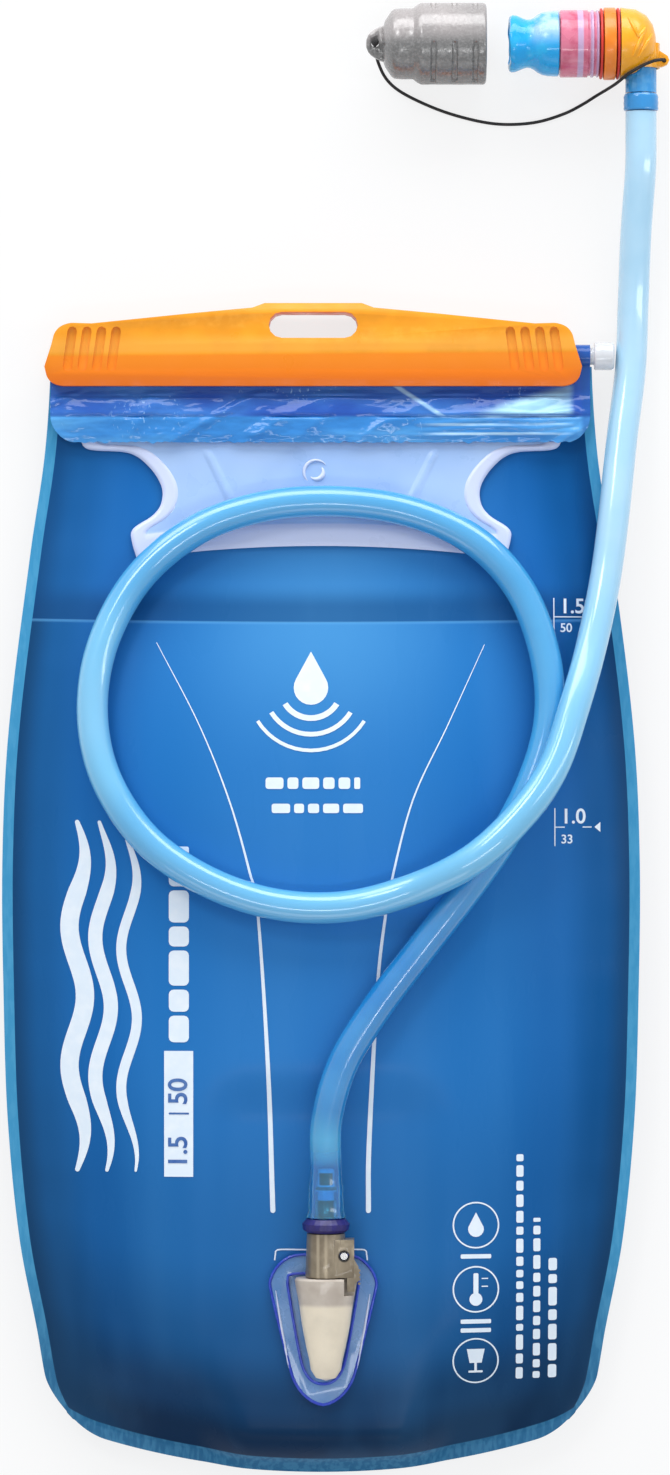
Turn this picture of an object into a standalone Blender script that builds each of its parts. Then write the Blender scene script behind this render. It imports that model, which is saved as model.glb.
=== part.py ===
"""Hydration bladder, part filled, lying on its back: film pouch, clip, port, hose and bite valve.

X runs across the pouch, Y from its bottom weld to the clip, Z up from the surface it lies on.
"""

import math

import bmesh
import bpy
from mathutils import Matrix, Vector

# Driving sizes, in metres
gap = 0.0003                 # between pieces that touch or are welded
overall_length = 0.3276      # from the bottom weld to the top of the clip
bag_width = 0.1786
bag_height = 0.0238          # of the part-filled pouch, lying down
film = 0.0006
weld_band = 0.0032
corner_radius = 0.0120
bottom_arc_radius = 0.2128
seam_lift = 0.0040           # of the side welds beside the water, above the clip's slot
side_run = 0.0550            # how far in from a weld the front film is still rising
bottom_run = 0.0400
neck_run = 0.1100
back_run = 0.0300            # how far in from a weld the back film still falls
back_neck_run = 0.0350
lip_height = 0.0157          # of the mouth band below the clip
lip_rise = 0.0034            # of its fold above the slot
lip_x = -0.0002
lip_inset = 0.0136           # of the band's ends from the widest half width
flap_thickness = 0.0010
flap_lift = 0.0005           # above the front film

clip_depth = 0.0232          # along the pouch
clip_thickness = 0.0130
clip_inset = 0.0140          # of its ends from the widest half width
clip_x = -0.0022
slot_clearance = 0.0004      # round the four layers of film in its slot
rail_radius = 0.0024
rail_setback = 0.0086        # from the clip's lower edge to the rail
stop_radius = 0.0039
stop_length = 0.0056
crease_height = 0.0114       # of the clip's fullest line above its lower edge
lower_facet_drop = 0.0014
hang_slot_length = 0.0249
hang_slot_height = 0.0073
hang_slot_setback = 0.0062   # from the clip's top edge
groove_count = 4
groove_pitch = 0.0041
groove_inset = 0.0072        # of the outermost groove from the clip's end
groove_middle = 0.0103       # above the clip's lower edge
groove_length = 0.0125
groove_width = 0.0026
groove_tilt = math.radians(8)
groove_depth = 0.0012

port_x = 0.0014
port_rise = 0.0205           # of the film that carries the port
shelf_half_width = 0.0200    # of the film's level part, which the plug slides over
shelf_run = 0.0180
port_from_bottom = 0.0563    # from the bottom weld to the socket's mouth
flange_plate = 0.0014
flange_rim = 0.0009
socket_radius = 0.0087
socket_flatness = 0.75
socket_bore = 0.0046
seat_depth = 0.0105          # from the socket's mouth
seat_radius = 0.0026
seat_wall = 0.0012
chamber_length = 0.0083
chamber_radius = 0.0033
inlet_radius = 0.0020
inlet_setback = 0.0025       # of the inlet's middle from the chamber's end
poppet_lift = 0.0016         # off its seat while the plug is in
spring_radius = 0.0020
spring_wire = 0.00025
notch_x = 0.0050             # of the notch for the lever's hook, from the socket's axis
catch_depth = 0.0039         # of the lever's hook below the socket's mouth
lever_low = 0.0010           # the lever's two faces, above the plug's axis
lever_high = 0.0030
lever_pin_x = 0.0050
lever_pin_up = 0.0061
lever_wire = 0.00015
pin_radius = 0.0010
plug_radius = 0.0057
plug_length = 0.0120
plug_clearance = 0.0004      # of the plug's spigot in the socket's bore
oring_groove = 0.0007        # depth of the grooves for the O-rings
oring_proud = 0.0003
oring_start = 0.0043        # of the plug's groove, below the socket's mouth
oring_room = 0.0016
slot_floor = 0.0027          # of the lever's slot, from the plug's axis
ear_reach = 0.0078           # of the ear that holds the lever's pin
ear_top = 0.0106
ear_high = 0.0050
water_bore = 0.0020
barb_length = 0.0176
barb_radius = 0.0023
barb_bore = 0.0015
collar_radius = 0.0066

hose_radius = 0.0044
hose_bore = 0.0032

valve_y = 0.2364
valve_z = 0.0114
core_radius = 0.0094
ring_step = 0.0007           # of the elbow and the lock ring beyond the core
swivel_x = 0.0896
swivel_radius = 0.0044
swivel_bore = 0.0018
spigot_length = 0.0169
elbow_start = 0.0837         # places along X of the valve's pieces
ring_start = 0.0790
ring_length = 0.0034
core_start = 0.0668
tip_start = 0.0524
neck_radius = 0.0060         # of the bores that the core's stub turns in
core_nose = 0.0073
nose_length = 0.0063
core_bore = 0.0034
slit_radius = 0.0053
tip_radius = 0.0080
cap_clearance = 0.00035      # round the core
cap_wall = 0.00155
cap_narrow_wall = 0.0013
cap_tip_clearance = 0.0005
cap_mouth = 0.0462
cap_floor = 0.0206
cap_eye_x = 0.0151
eyelet_x = 0.0960
eyelet_y = 0.2316
tether_radius = 0.00045

# Places that follow from the sizes
clip_top_y = overall_length / 2
bag_bottom_y = -overall_length / 2
clip_bottom_y = clip_top_y - clip_depth
rail_y = clip_bottom_y + rail_setback
neck_z = clip_thickness / 2
film_pitch = film + gap
film_columns = 24
film_rows = 36
clip_slot = 4 * film_pitch + slot_clearance
clip_half_length = bag_width / 2 - clip_inset
lip_half_length = bag_width / 2 - lip_inset
wrap_radius = rail_radius + gap + film / 2
film_top_y = rail_y - rail_radius - 2 * gap
neck_y = clip_bottom_y - 0.0126        # where the pouch starts to swell
lip_bottom_y = clip_bottom_y - lip_height
port_y = bag_bottom_y + port_from_bottom
chamber_start = seat_depth + seat_wall
chamber_end = chamber_start + chamber_length
inlet_y = port_y - chamber_end + inlet_setback
spigot_radius = socket_bore - plug_clearance
groove_radius = spigot_radius - oring_groove
valve_radius = core_radius + ring_step
cap_bore = core_radius + cap_clearance
cap_radius = cap_bore + cap_wall
cap_narrow_bore = tip_radius + cap_tip_clearance
cap_narrow = cap_narrow_bore + cap_narrow_wall
stub_end = swivel_x - swivel_radius - 0.0005      # of the core's stub, short of the spigot
flange_x = port_x - 0.0008
shelf_half_length = plug_length + barb_length + 0.0124
flange_z = port_rise + gap
recess_z = flange_z + flange_plate
port_z = recess_z + gap + socket_radius * socket_flatness

for old in list(bpy.data.objects):
    bpy.data.objects.remove(old, do_unlink=True)
parts = bpy.data.collections.new("hydration_bladder")
cutters = bpy.data.collections.new("cutters")
bpy.context.scene.collection.children.link(parts)
bpy.context.scene.collection.children.link(cutters)


# Tools for building solids


def material(name, colour, roughness, metallic=0.0):
    made = bpy.data.materials.new(name)
    made.use_nodes = True
    shader = made.node_tree.nodes["Principled BSDF"]
    shader.inputs["Base Color"].default_value = (*colour, 1.0)
    shader.inputs["Roughness"].default_value = roughness
    shader.inputs["Metallic"].default_value = metallic
    return made


def add(name, data, look, group=parts):
    thing = bpy.data.objects.new(name, data)
    if look:
        data.materials.append(look)
    group.objects.link(thing)
    if group is cutters:
        thing.hide_render = True
        thing.display_type = "WIRE"
    return thing


def smooth(data, angle=35):
    data.shade_smooth()
    data.set_sharp_from_angle(angle=math.radians(angle))


def between(low, high, share):
    return low + (high - low) * share


def clamp(value):
    return min(max(value, 0.0), 1.0)


def ease(value):
    """A smooth step from 0 to 1."""
    t = clamp(value)
    return t * t * (3 - 2 * t)


def dome(value):
    """Rises steeply from 0 and levels out at 1."""
    return 1 - (1 - clamp(value)) ** 2


def through(points, at):
    """The value at one place on a smooth curve through (place, value) points."""
    last = len(points) - 1
    i = 0
    while i < last - 1 and at > points[i + 1][0]:
        i += 1

    def slope(k):
        low = max(k - 1, 0)
        high = min(k + 1, last)
        return (points[high][1] - points[low][1]) / (points[high][0] - points[low][0])

    (x0, y0), (x1, y1) = points[i], points[i + 1]
    span = x1 - x0
    t = (at - x0) / span
    a = 2 * t ** 3 - 3 * t ** 2 + 1
    b = t ** 3 - 2 * t ** 2 + t
    c = 3 * t ** 2 - 2 * t ** 3
    d = t ** 3 - t ** 2
    return a * y0 + b * span * slope(i) + c * y1 + d * span * slope(i + 1)


def route(points, spacing):
    """Evenly spaced points on a smooth curve through the given ones."""
    ends = [2 * Vector(points[0]) - Vector(points[1])]
    knots = ends + [Vector(p) for p in points] + [2 * Vector(points[-1]) - Vector(points[-2])]
    fine = []
    for i in range(1, len(knots) - 2):
        p0, p1, p2, p3 = knots[i - 1:i + 3]
        for step in range(24):
            t = step / 24
            fine.append(0.5 * (2 * p1 + (p2 - p0) * t + (2 * p0 - 5 * p1 + 4 * p2 - p3) * t ** 2
                               + (3 * p1 - p0 - 3 * p2 + p3) * t ** 3))
    fine.append(knots[-2])
    length = sum((b - a).length for a, b in zip(fine, fine[1:]))
    count = max(2, round(length / spacing))
    even = [fine[0]]
    walked = 0.0
    for a, b in zip(fine, fine[1:]):
        step = (b - a).length
        while len(even) < count and walked + step >= len(even) * length / count:
            share = (len(even) * length / count - walked) / step
            even.append(a.lerp(b, share))
        walked += step
    even.append(fine[-1])
    return even


def tube(name, points, radius, look, fineness=3):
    """A solid round cord through the points, its ends cut square to its two end runs."""
    data = bpy.data.curves.new(name, "CURVE")
    data.dimensions = "3D"
    data.bevel_depth = radius
    data.bevel_resolution = fineness
    data.use_fill_caps = True
    line = data.splines.new("POLY")
    line.points.add(len(points) - 1)
    for spot, point in zip(line.points, points):
        spot.co = (*point, 1.0)
    return add(name, data, look)


def flat_outline(name, points, thickness, look, group=parts):
    """A plate of the outline, as a mesh centred on its own XY plane."""
    data = bpy.data.curves.new(name, "CURVE")
    data.dimensions = "2D"
    data.fill_mode = "BOTH"
    data.extrude = thickness / 2
    line = data.splines.new("POLY")
    line.points.add(len(points) - 1)
    for spot, point in zip(line.points, points):
        spot.co = (point[0], point[1], 0.0, 1.0)
    line.use_cyclic_u = True
    curve = add(name + "_outline", data, None)
    bpy.context.view_layer.update()
    graph = bpy.context.evaluated_depsgraph_get()
    mesh = bpy.data.meshes.new_from_object(curve.evaluated_get(graph))
    bpy.data.objects.remove(curve)
    shape = bmesh.new()
    shape.from_mesh(mesh)
    bmesh.ops.remove_doubles(shape, verts=shape.verts, dist=0.000001)
    shape.to_mesh(mesh)
    shape.free()
    mesh.name = name
    return add(name, mesh, look, group)


def box(name, low, high):
    """A block between two corners, to cut or join with."""
    size = Vector(high) - Vector(low)
    middle = (Vector(high) + Vector(low)) / 2
    shape = bmesh.new()
    bmesh.ops.create_cube(shape, size=1.0)
    bmesh.ops.scale(shape, verts=shape.verts, vec=size)
    data = bpy.data.meshes.new(name)
    shape.to_mesh(data)
    shape.free()
    thing = add(name, data, None, cutters)
    thing.location = middle
    return thing


TURNS = {
    "+X": Matrix.Rotation(math.radians(90), 4, "Y"),
    "+Y": Matrix.Rotation(math.radians(-90), 4, "X"),
}


def turned(name, profile, axis, centre, look, steps=24, group=parts, ring=True):
    """A turned piece: (radius, place along the axis) points down its outer side, then up its bore."""
    data = bpy.data.meshes.new(name)
    shape = bmesh.new()
    spots = [shape.verts.new((radius, 0.0, along)) for radius, along in profile]
    for a, b in zip(spots, spots[1:]):
        shape.edges.new((a, b))
    if ring:
        shape.edges.new((spots[-1], spots[0]))
    shape.to_mesh(data)
    shape.free()
    thing = add(name, data, look, group)
    spin = thing.modifiers.new("turn", "SCREW")
    spin.steps = steps
    spin.render_steps = steps
    spin.use_merge_vertices = True
    spin.merge_threshold = 0.00001
    spin.use_smooth_shade = False
    thing.matrix_world = Matrix.Translation(centre) @ TURNS[axis]
    return thing


def rod(name, start, end, radius, look=None, steps=20, group=cutters):
    """A plain cylinder between two points."""
    start, end = Vector(start), Vector(end)
    shape = bmesh.new()
    bmesh.ops.create_cone(shape, cap_ends=True, segments=steps, radius1=radius, radius2=radius,
                          depth=(end - start).length)
    data = bpy.data.meshes.new(name)
    shape.to_mesh(data)
    shape.free()
    smooth(data)
    thing = add(name, data, look, group)
    aim = (end - start).to_track_quat("Z", "Y").to_matrix().to_4x4()
    thing.matrix_world = Matrix.Translation((start + end) / 2) @ aim
    return thing


def cut(thing, cutter, way="DIFFERENCE"):
    step = thing.modifiers.new(way.lower() + "_" + cutter.name, "BOOLEAN")
    step.operation = way
    step.object = cutter
    step.solver = "EXACT"
    return thing


def sheet(name, columns, rows, place, thickness, look, side=0.0):
    """A film: a grid whose corners place() puts in space, given thickness to both sides or one."""
    shape = bmesh.new()
    bmesh.ops.create_grid(shape, x_segments=columns, y_segments=rows, size=1.0)
    for spot in shape.verts:
        spot.co = place(spot.co.x, (1 - spot.co.y) / 2)
    data = bpy.data.meshes.new(name)
    shape.to_mesh(data)
    shape.free()
    smooth(data)
    thing = add(name, data, look)
    wall = thing.modifiers.new("wall", "SOLIDIFY")
    wall.thickness = thickness
    wall.offset = side
    wall.use_even_offset = True
    return thing


def joint_parent(name, place):
    """An empty on a joint's axis, which carries the pieces of one moving body."""
    empty = bpy.data.objects.new(name, None)
    empty.location = place
    parts.objects.link(empty)
    return empty


def carry(empty, *things):
    bpy.context.view_layer.update()
    for thing in things:
        place = thing.matrix_world.copy()
        thing.parent = empty
        thing.matrix_parent_inverse = empty.matrix_world.inverted()
        thing.matrix_world = place


# Looks

blue_film = material("blue_film", (0.03, 0.19, 0.50), 0.18)
clear_plastic = material("clear_plastic", (0.80, 0.88, 0.95), 0.10)
lavender = material("lavender_flap", (0.42, 0.54, 0.80), 0.30)
orange = material("orange_plastic", (0.95, 0.36, 0.03), 0.35)
port_blue = material("port_blue", (0.08, 0.25, 0.62), 0.15)
cream = material("cream_plastic", (0.68, 0.62, 0.50), 0.40)
taupe = material("taupe_plastic", (0.19, 0.17, 0.13), 0.32, 0.3)
indigo = material("indigo_plastic", (0.04, 0.03, 0.14), 0.35)
steel = material("steel", (0.60, 0.60, 0.62), 0.25, 1.0)
seal_rubber = material("seal_rubber", (0.60, 0.02, 0.02), 0.50)
hose_blue = material("hose_blue", (0.35, 0.67, 0.92), 0.12)
valve_blue = material("valve_blue", (0.05, 0.42, 0.80), 0.20)
silicone = material("blue_silicone", (0.03, 0.45, 0.85), 0.25)
pink = material("pink_core", (0.80, 0.28, 0.40), 0.30)
cap_grey = material("grey_rubber", (0.24, 0.25, 0.25), 0.45)
cord_black = material("black_cord", (0.01, 0.01, 0.01), 0.80)


# The pouch

# How far the side weld stands in from the widest width, against the share of the length from the bottom
SIDE_INSETS = [
    (0.0, 0.0200), (0.071, 0.0126), (0.122, 0.0095), (0.199, 0.0047), (0.300, 0.0015), (0.400, 0.0004),
    (0.524, 0.0), (0.635, 0.0017), (0.789, 0.0078), (0.866, 0.0115), (0.929, 0.0131), (1.0, 0.0136),
]


def half_width(y):
    share = clamp((y - bag_bottom_y) / overall_length)
    return bag_width / 2 - through(SIDE_INSETS, share)


def bottom_y(x):
    """The gentle arc of the bottom weld."""
    return bag_bottom_y + bottom_arc_radius - math.sqrt(bottom_arc_radius ** 2 - x ** 2)


def seam_z(y):
    """The level between the two films at their weld: at the clip's slot, and higher beside the water."""
    share = clamp((neck_y - y) / (neck_y - bag_bottom_y))
    return neck_z + seam_lift * math.sin(math.pi * share) ** 2


def front_z(x, y, from_side, from_bottom):
    """The middle of the front film: it swells away from its welds and levels out at the port."""
    seam = seam_z(y) + film_pitch / 2
    along = clamp((neck_y - y) / neck_run)
    swell = 0.5 - 0.5 * math.cos(math.pi * along)
    swell *= dome((from_side - weld_band) / side_run)
    swell *= dome((from_bottom - weld_band) / bottom_run)
    z = between(seam, bag_height - film / 2, swell)
    beside = max(abs(x - port_x) - shelf_half_width, 0.0)
    beyond = max(abs(y - port_y) - shelf_half_length, 0.0)
    shelf = ease(1 - math.hypot(beside, beyond) / shelf_run)
    return between(z, port_rise - film / 2, shelf)


def back_z(x, y, from_side, from_bottom):
    """The middle of the back film: flat on the ground except near its welds and the clip."""
    seam = seam_z(y) - film_pitch / 2
    flat = dome((from_side - weld_band) / back_run) * dome((from_bottom - weld_band) / back_run)
    flat *= dome((clip_bottom_y - y) / back_neck_run)
    return between(seam, film / 2, flat)


def film_point(u, v, height):
    """A grid corner on the pouch: u from side to side, v from top to bottom, corners rounded."""
    across = u * (1.5 - 0.5 * u * u)
    w = 2 * v - 1
    along = 0.5 + 0.5 * w * (1.5 - 0.5 * w * w)
    x = across * bag_width / 2
    for _ in range(4):
        y = between(film_top_y, bottom_y(x), along)
        x = across * half_width(y)
    from_side = half_width(y) - abs(x)
    from_bottom = y - bottom_y(x)
    z = height(x, y, from_side, from_bottom)
    if from_side < corner_radius and from_bottom < corner_radius:
        a = 1 - from_side / corner_radius
        b = 1 - from_bottom / corner_radius
        inward = corner_radius * (1 - a * math.sqrt(1 - b * b / 2))
        upward = corner_radius * (1 - b * math.sqrt(1 - a * a / 2))
        return Vector((math.copysign(half_width(y) - inward, x), bottom_y(x) + upward, z))
    return Vector((x, y, z))


def build_films():
    front = sheet("front_film", film_columns, film_rows, lambda u, v: film_point(u, v, front_z),
                  film, blue_film)
    hole = rod("film_hole", (port_x, inlet_y, port_rise - 0.004), (port_x, inlet_y, port_rise + 0.002),
               inlet_radius + 0.0015)
    cut(front, hole)
    sheet("back_film", film_columns, film_rows, lambda u, v: film_point(u, v, back_z),
          film, blue_film)


def build_mouth_band():
    """The lip of the pouch: up through the clip's slot, round the rail, and folded down in front."""
    arm = 1.5 * film_pitch
    first = math.asin(arm / wrap_radius)
    turn_y = rail_y - wrap_radius * math.cos(first)
    path = [
        (lip_bottom_y, neck_z + lip_rise - 0.0004),
        (lip_bottom_y + 0.0020, neck_z + lip_rise),
        (clip_bottom_y - 0.0075, neck_z + lip_rise),
        (clip_bottom_y - 0.0020, neck_z + arm),
    ]
    for step in range(13):
        angle = between(first, 2 * math.pi - first, step / 12)
        path.append((rail_y - wrap_radius * math.cos(angle), neck_z + wrap_radius * math.sin(angle)))
    path.append((turn_y - 0.0030, neck_z - arm))

    def place(u, v):
        y, z = path[round(v * (len(path) - 1))]
        return Vector((lip_x + u * lip_half_length, y, z))

    sheet("mouth_band", 2, len(path) - 1, place, film, blue_film)


def build_rail():
    clip_end = clip_x + clip_half_length
    stop = clip_end + 0.0036
    profile = [
        (0.0, stop + stop_length),
        (stop_radius - 0.0005, stop + stop_length),
        (stop_radius, stop + stop_length - 0.0006),
        (stop_radius, stop),
        (rail_radius, stop),
        (rail_radius, -clip_end - 0.0020),
        (0.0, -clip_end - 0.0020),
    ]
    turned("closure_rail", profile, "+X", (0, rail_y, neck_z), clear_plastic, 20, ring=False)


# The flap's side: (half its width, distance below the clip)
FLAP_SIDE = [
    (0.0640, 0.0105), (0.0661, 0.0163), (0.0540, 0.0177), (0.0479, 0.0219), (0.0442, 0.0278),
    (0.0442, 0.0331), (0.0468, 0.0370), (0.0521, 0.0406), (0.0524, 0.0432), (0.0510, 0.0482),
]


def build_flap():
    """The pull flap: tucked under the mouth band, waisted, with a curved lower edge."""
    def place(u, v):
        k = round(v * (len(FLAP_SIDE) - 1))
        half, drop = FLAP_SIDE[k]
        across = u * (1.3 - 0.3 * u * u)
        x = across * half
        crown = 0.0034 * ease((k - 2) / 6) * (1 - across ** 2)
        y = clip_bottom_y - drop + crown
        z = front_z(x, y, half_width(y) - abs(x), y - bottom_y(x))
        return Vector((x, y, z + film / 2 + flap_lift))

    sheet("pull_flap", 12, len(FLAP_SIDE) - 1, place, flap_thickness, lavender, side=1.0)


# The clip

def mirrored(right_half):
    """A closed outline from the points of its right half, top to bottom."""
    left = [(-x, y) for x, y in reversed(right_half) if x > 0]
    return right_half + left


def stadium(length, height, tilt=0.0, steps=6):
    """A slot's outline: two half circles joined by straight sides."""
    reach = (length - height) / 2
    points = []
    for side in (1, -1):
        for step in range(steps + 1):
            angle = math.pi * step / steps - math.pi / 2
            x = side * (reach + math.cos(angle) * height / 2)
            y = side * math.sin(angle) * height / 2
            turned_x = x * math.cos(tilt) - y * math.sin(tilt)
            turned_y = x * math.sin(tilt) + y * math.cos(tilt)
            points.append((turned_x, turned_y))
    return points


def build_clip():
    """The slide-on clip: a channel with a slot for the film, cut to its outline."""
    bore = wrap_radius + film / 2 + gap
    first = math.asin(clip_slot / 2 / bore)
    low = neck_z - clip_slot / 2
    high = neck_z + clip_slot / 2
    section = [(clip_bottom_y, low)]
    for step in range(13):
        angle = between(-first, first - 2 * math.pi, step / 12)
        section.append((rail_y - bore * math.cos(angle), neck_z + bore * math.sin(angle)))
    section += [
        (clip_bottom_y, high),
        (clip_bottom_y, clip_thickness - lower_facet_drop),
        (clip_bottom_y + crease_height, clip_thickness),
        (clip_top_y - 0.0030, clip_thickness),
        (clip_top_y, clip_thickness - 0.0014),
        (clip_top_y, 0.0014),
        (clip_top_y - 0.0030, 0.0),
        (clip_bottom_y + crease_height, 0.0),
        (clip_bottom_y, lower_facet_drop),
    ]
    clip = flat_outline("slider_clip", section, 2 * clip_half_length + 0.004, orange)
    clip.matrix_world = Matrix(((0, 0, 1, clip_x), (1, 0, 0, 0), (0, 1, 0, 0), (0, 0, 0, 1)))

    end = clip_half_length
    right = [
        (0.0136, clip_depth), (0.0170, clip_depth - 0.0013), (0.0450, clip_depth - 0.0040),
        (0.0620, clip_depth - 0.0058), (0.0690, clip_depth - 0.0056), (end - 0.0030, clip_depth - 0.0076),
        (end - 0.0020, clip_depth - 0.0117), (end, 0.0054), (end - 0.0009, 0.0016), (end - 0.0038, 0.0),
    ]
    outline = flat_outline("clip_outline", mirrored(right), 3 * clip_thickness, None, cutters)
    outline.location = (clip_x, clip_bottom_y, neck_z)
    cut(clip, outline, "INTERSECT")

    slot = flat_outline("hang_slot", stadium(hang_slot_length, hang_slot_height), 2 * clip_thickness,
                        None, cutters)
    slot.location = (clip_x, clip_top_y - hang_slot_setback, neck_z)
    cut(clip, slot)
    for side in (-1, 1):
        for number in range(groove_count):
            tilt = math.radians(90) + side * groove_tilt
            shape = stadium(groove_length, groove_width, tilt, 4)
            groove = flat_outline(f"groove_{side + 1}_{number}", shape, 0.0040, None, cutters)
            x = clip_x + side * (clip_half_length - groove_inset - number * groove_pitch)
            groove.location = (x, clip_bottom_y + groove_middle, clip_thickness - groove_depth + 0.0020)
            cut(clip, groove)


# The port

def loop(right_half, steps=3):
    """A smooth closed outline through the right half's points and their mirror images."""
    knots = [Vector(p) for p in mirrored(right_half)]
    count = len(knots)
    points = []
    for i in range(count):
        p0, p1, p2, p3 = (knots[(i + k) % count] for k in (-1, 0, 1, 2))
        for step in range(steps):
            t = step / steps
            points.append(0.5 * (2 * p1 + (p2 - p0) * t + (2 * p0 - 5 * p1 + 4 * p2 - p3) * t ** 2
                                 + (3 * p1 - p0 - 3 * p2 + p3) * t ** 3))
    return [(p.x, p.y) for p in points]


def build_flange():
    """The teardrop frame welded on the front film: a plate with a raised rim."""
    half = socket_radius
    outer = [
        (0.0, 0.0059), (half - 0.0009, 0.0056), (half + 0.0033, 0.0033), (half + 0.0059, -0.0010),
        (half + 0.0055, -0.0056), (half + 0.0011, -0.0233), (half - 0.0009, -0.0297),
        (half - 0.0042, -0.0339), (0.0, -0.0359),
    ]
    inner = [
        (0.0, 0.0006), (half - 0.0002, 0.0004), (half + 0.0011, -0.0010), (half + 0.0007, -0.0056),
        (half - 0.0023, -0.0225), (half - 0.0041, -0.0275), (half - 0.0063, -0.0296), (0.0, -0.0301),
    ]
    thickness = flange_plate + flange_rim
    flange = flat_outline("port_flange", loop(outer), thickness, port_blue)
    flange.location = (flange_x, port_y, flange_z + thickness / 2)
    recess = flat_outline("flange_recess", loop(inner), 0.0040, None, cutters)
    recess.location = (flange_x, port_y, recess_z + 0.0020)
    cut(flange, recess)
    inlet = rod("flange_inlet", (port_x, inlet_y, flange_z - 0.001),
                (port_x, inlet_y, recess_z + 0.001), inlet_radius)
    cut(flange, inlet)


def build_socket():
    """The socket the plug clicks into, with the shut-off valve's chamber behind its seat."""
    profile = [
        (0.0, 0.0),
        (socket_radius - 0.0004, 0.0),
        (socket_radius, -0.0006),
        (socket_radius - 0.0013, -0.0079),
        (socket_radius - 0.0021, -0.0135),
        (socket_radius - 0.0032, -0.0191),
        (socket_radius - 0.0040, -0.0225),
        (socket_radius - 0.0045, -0.0255),
        (socket_radius - 0.0059, -0.0277),
        (0.0, -0.0285),
    ]
    socket = turned("port_socket", profile, "+Y", (port_x, port_y, port_z), cream, 28, ring=False)
    socket.matrix_world = socket.matrix_world @ Matrix.Diagonal((1, socket_flatness, 1, 1))
    bore = [
        (0.0, 0.0010), (socket_bore, 0.0010), (socket_bore, -seat_depth), (seat_radius, -seat_depth),
        (seat_radius, -chamber_start), (chamber_radius, -chamber_start), (chamber_radius, -chamber_end),
        (0.0, -chamber_end),
    ]
    centre = Vector((port_x, port_y, port_z))
    cut(socket, turned("socket_bore", bore, "+Y", centre, None, 24, cutters, ring=False))
    inlet = rod("socket_inlet", (port_x, inlet_y, recess_z - 0.002), (port_x, inlet_y, port_z),
                inlet_radius)
    cut(socket, inlet)
    notch = box("catch_notch",
                centre + Vector((notch_x, -catch_depth - 0.0008, lever_low - 0.0004)),
                centre + Vector((socket_radius + 0.0033, 0.0020, 0.0100)))
    cut(socket, notch)


def build_poppet():
    """The shut-off valve, held open by the plug: its spring pushes it to the seat when the plug leaves."""
    start = -seat_depth
    stem = seat_radius - gap
    disc = chamber_radius - gap
    face = -chamber_start - poppet_lift
    profile = [
        (0.0, start),
        (stem, start),
        (stem, face - 0.0009),
        (disc, face - 0.0009),
        (disc, face - 0.0021),
        (0.0, face - 0.0021),
    ]
    centre = (port_x, port_y, port_z)
    poppet = turned("port_poppet", profile, "+Y", centre, cream, 20, ring=False)
    ring = [(disc, face), (disc, face - 0.0006), (stem + gap, face - 0.0006), (stem + gap, face)]
    seal = turned("poppet_seal", ring, "+Y", centre, seal_rubber, 20)
    carry(joint_parent("poppet_axis", centre), poppet, seal)
    spring_room = chamber_length - poppet_lift - 0.0021 - 2 * gap
    coil("port_spring", Vector(centre) + Vector((0, face - 0.0021 - gap - spring_wire, 0)),
         Vector((0, -1, 0)), spring_room - 2 * spring_wire, spring_radius, spring_wire, 3)


def coil(name, start, way, length, radius, wire, turns):
    """A compression spring from start along way."""
    side = way.orthogonal().normalized()
    other = way.cross(side)
    points = []
    steps = 9 * turns
    for step in range(steps + 1):
        angle = 2 * math.pi * turns * step / steps
        points.append(start + way * (length * step / steps) + side * (radius * math.cos(angle))
                      + other * (radius * math.sin(angle)))
    return tube(name, points, wire, steel, 2)


# The quick-release plug

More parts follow.
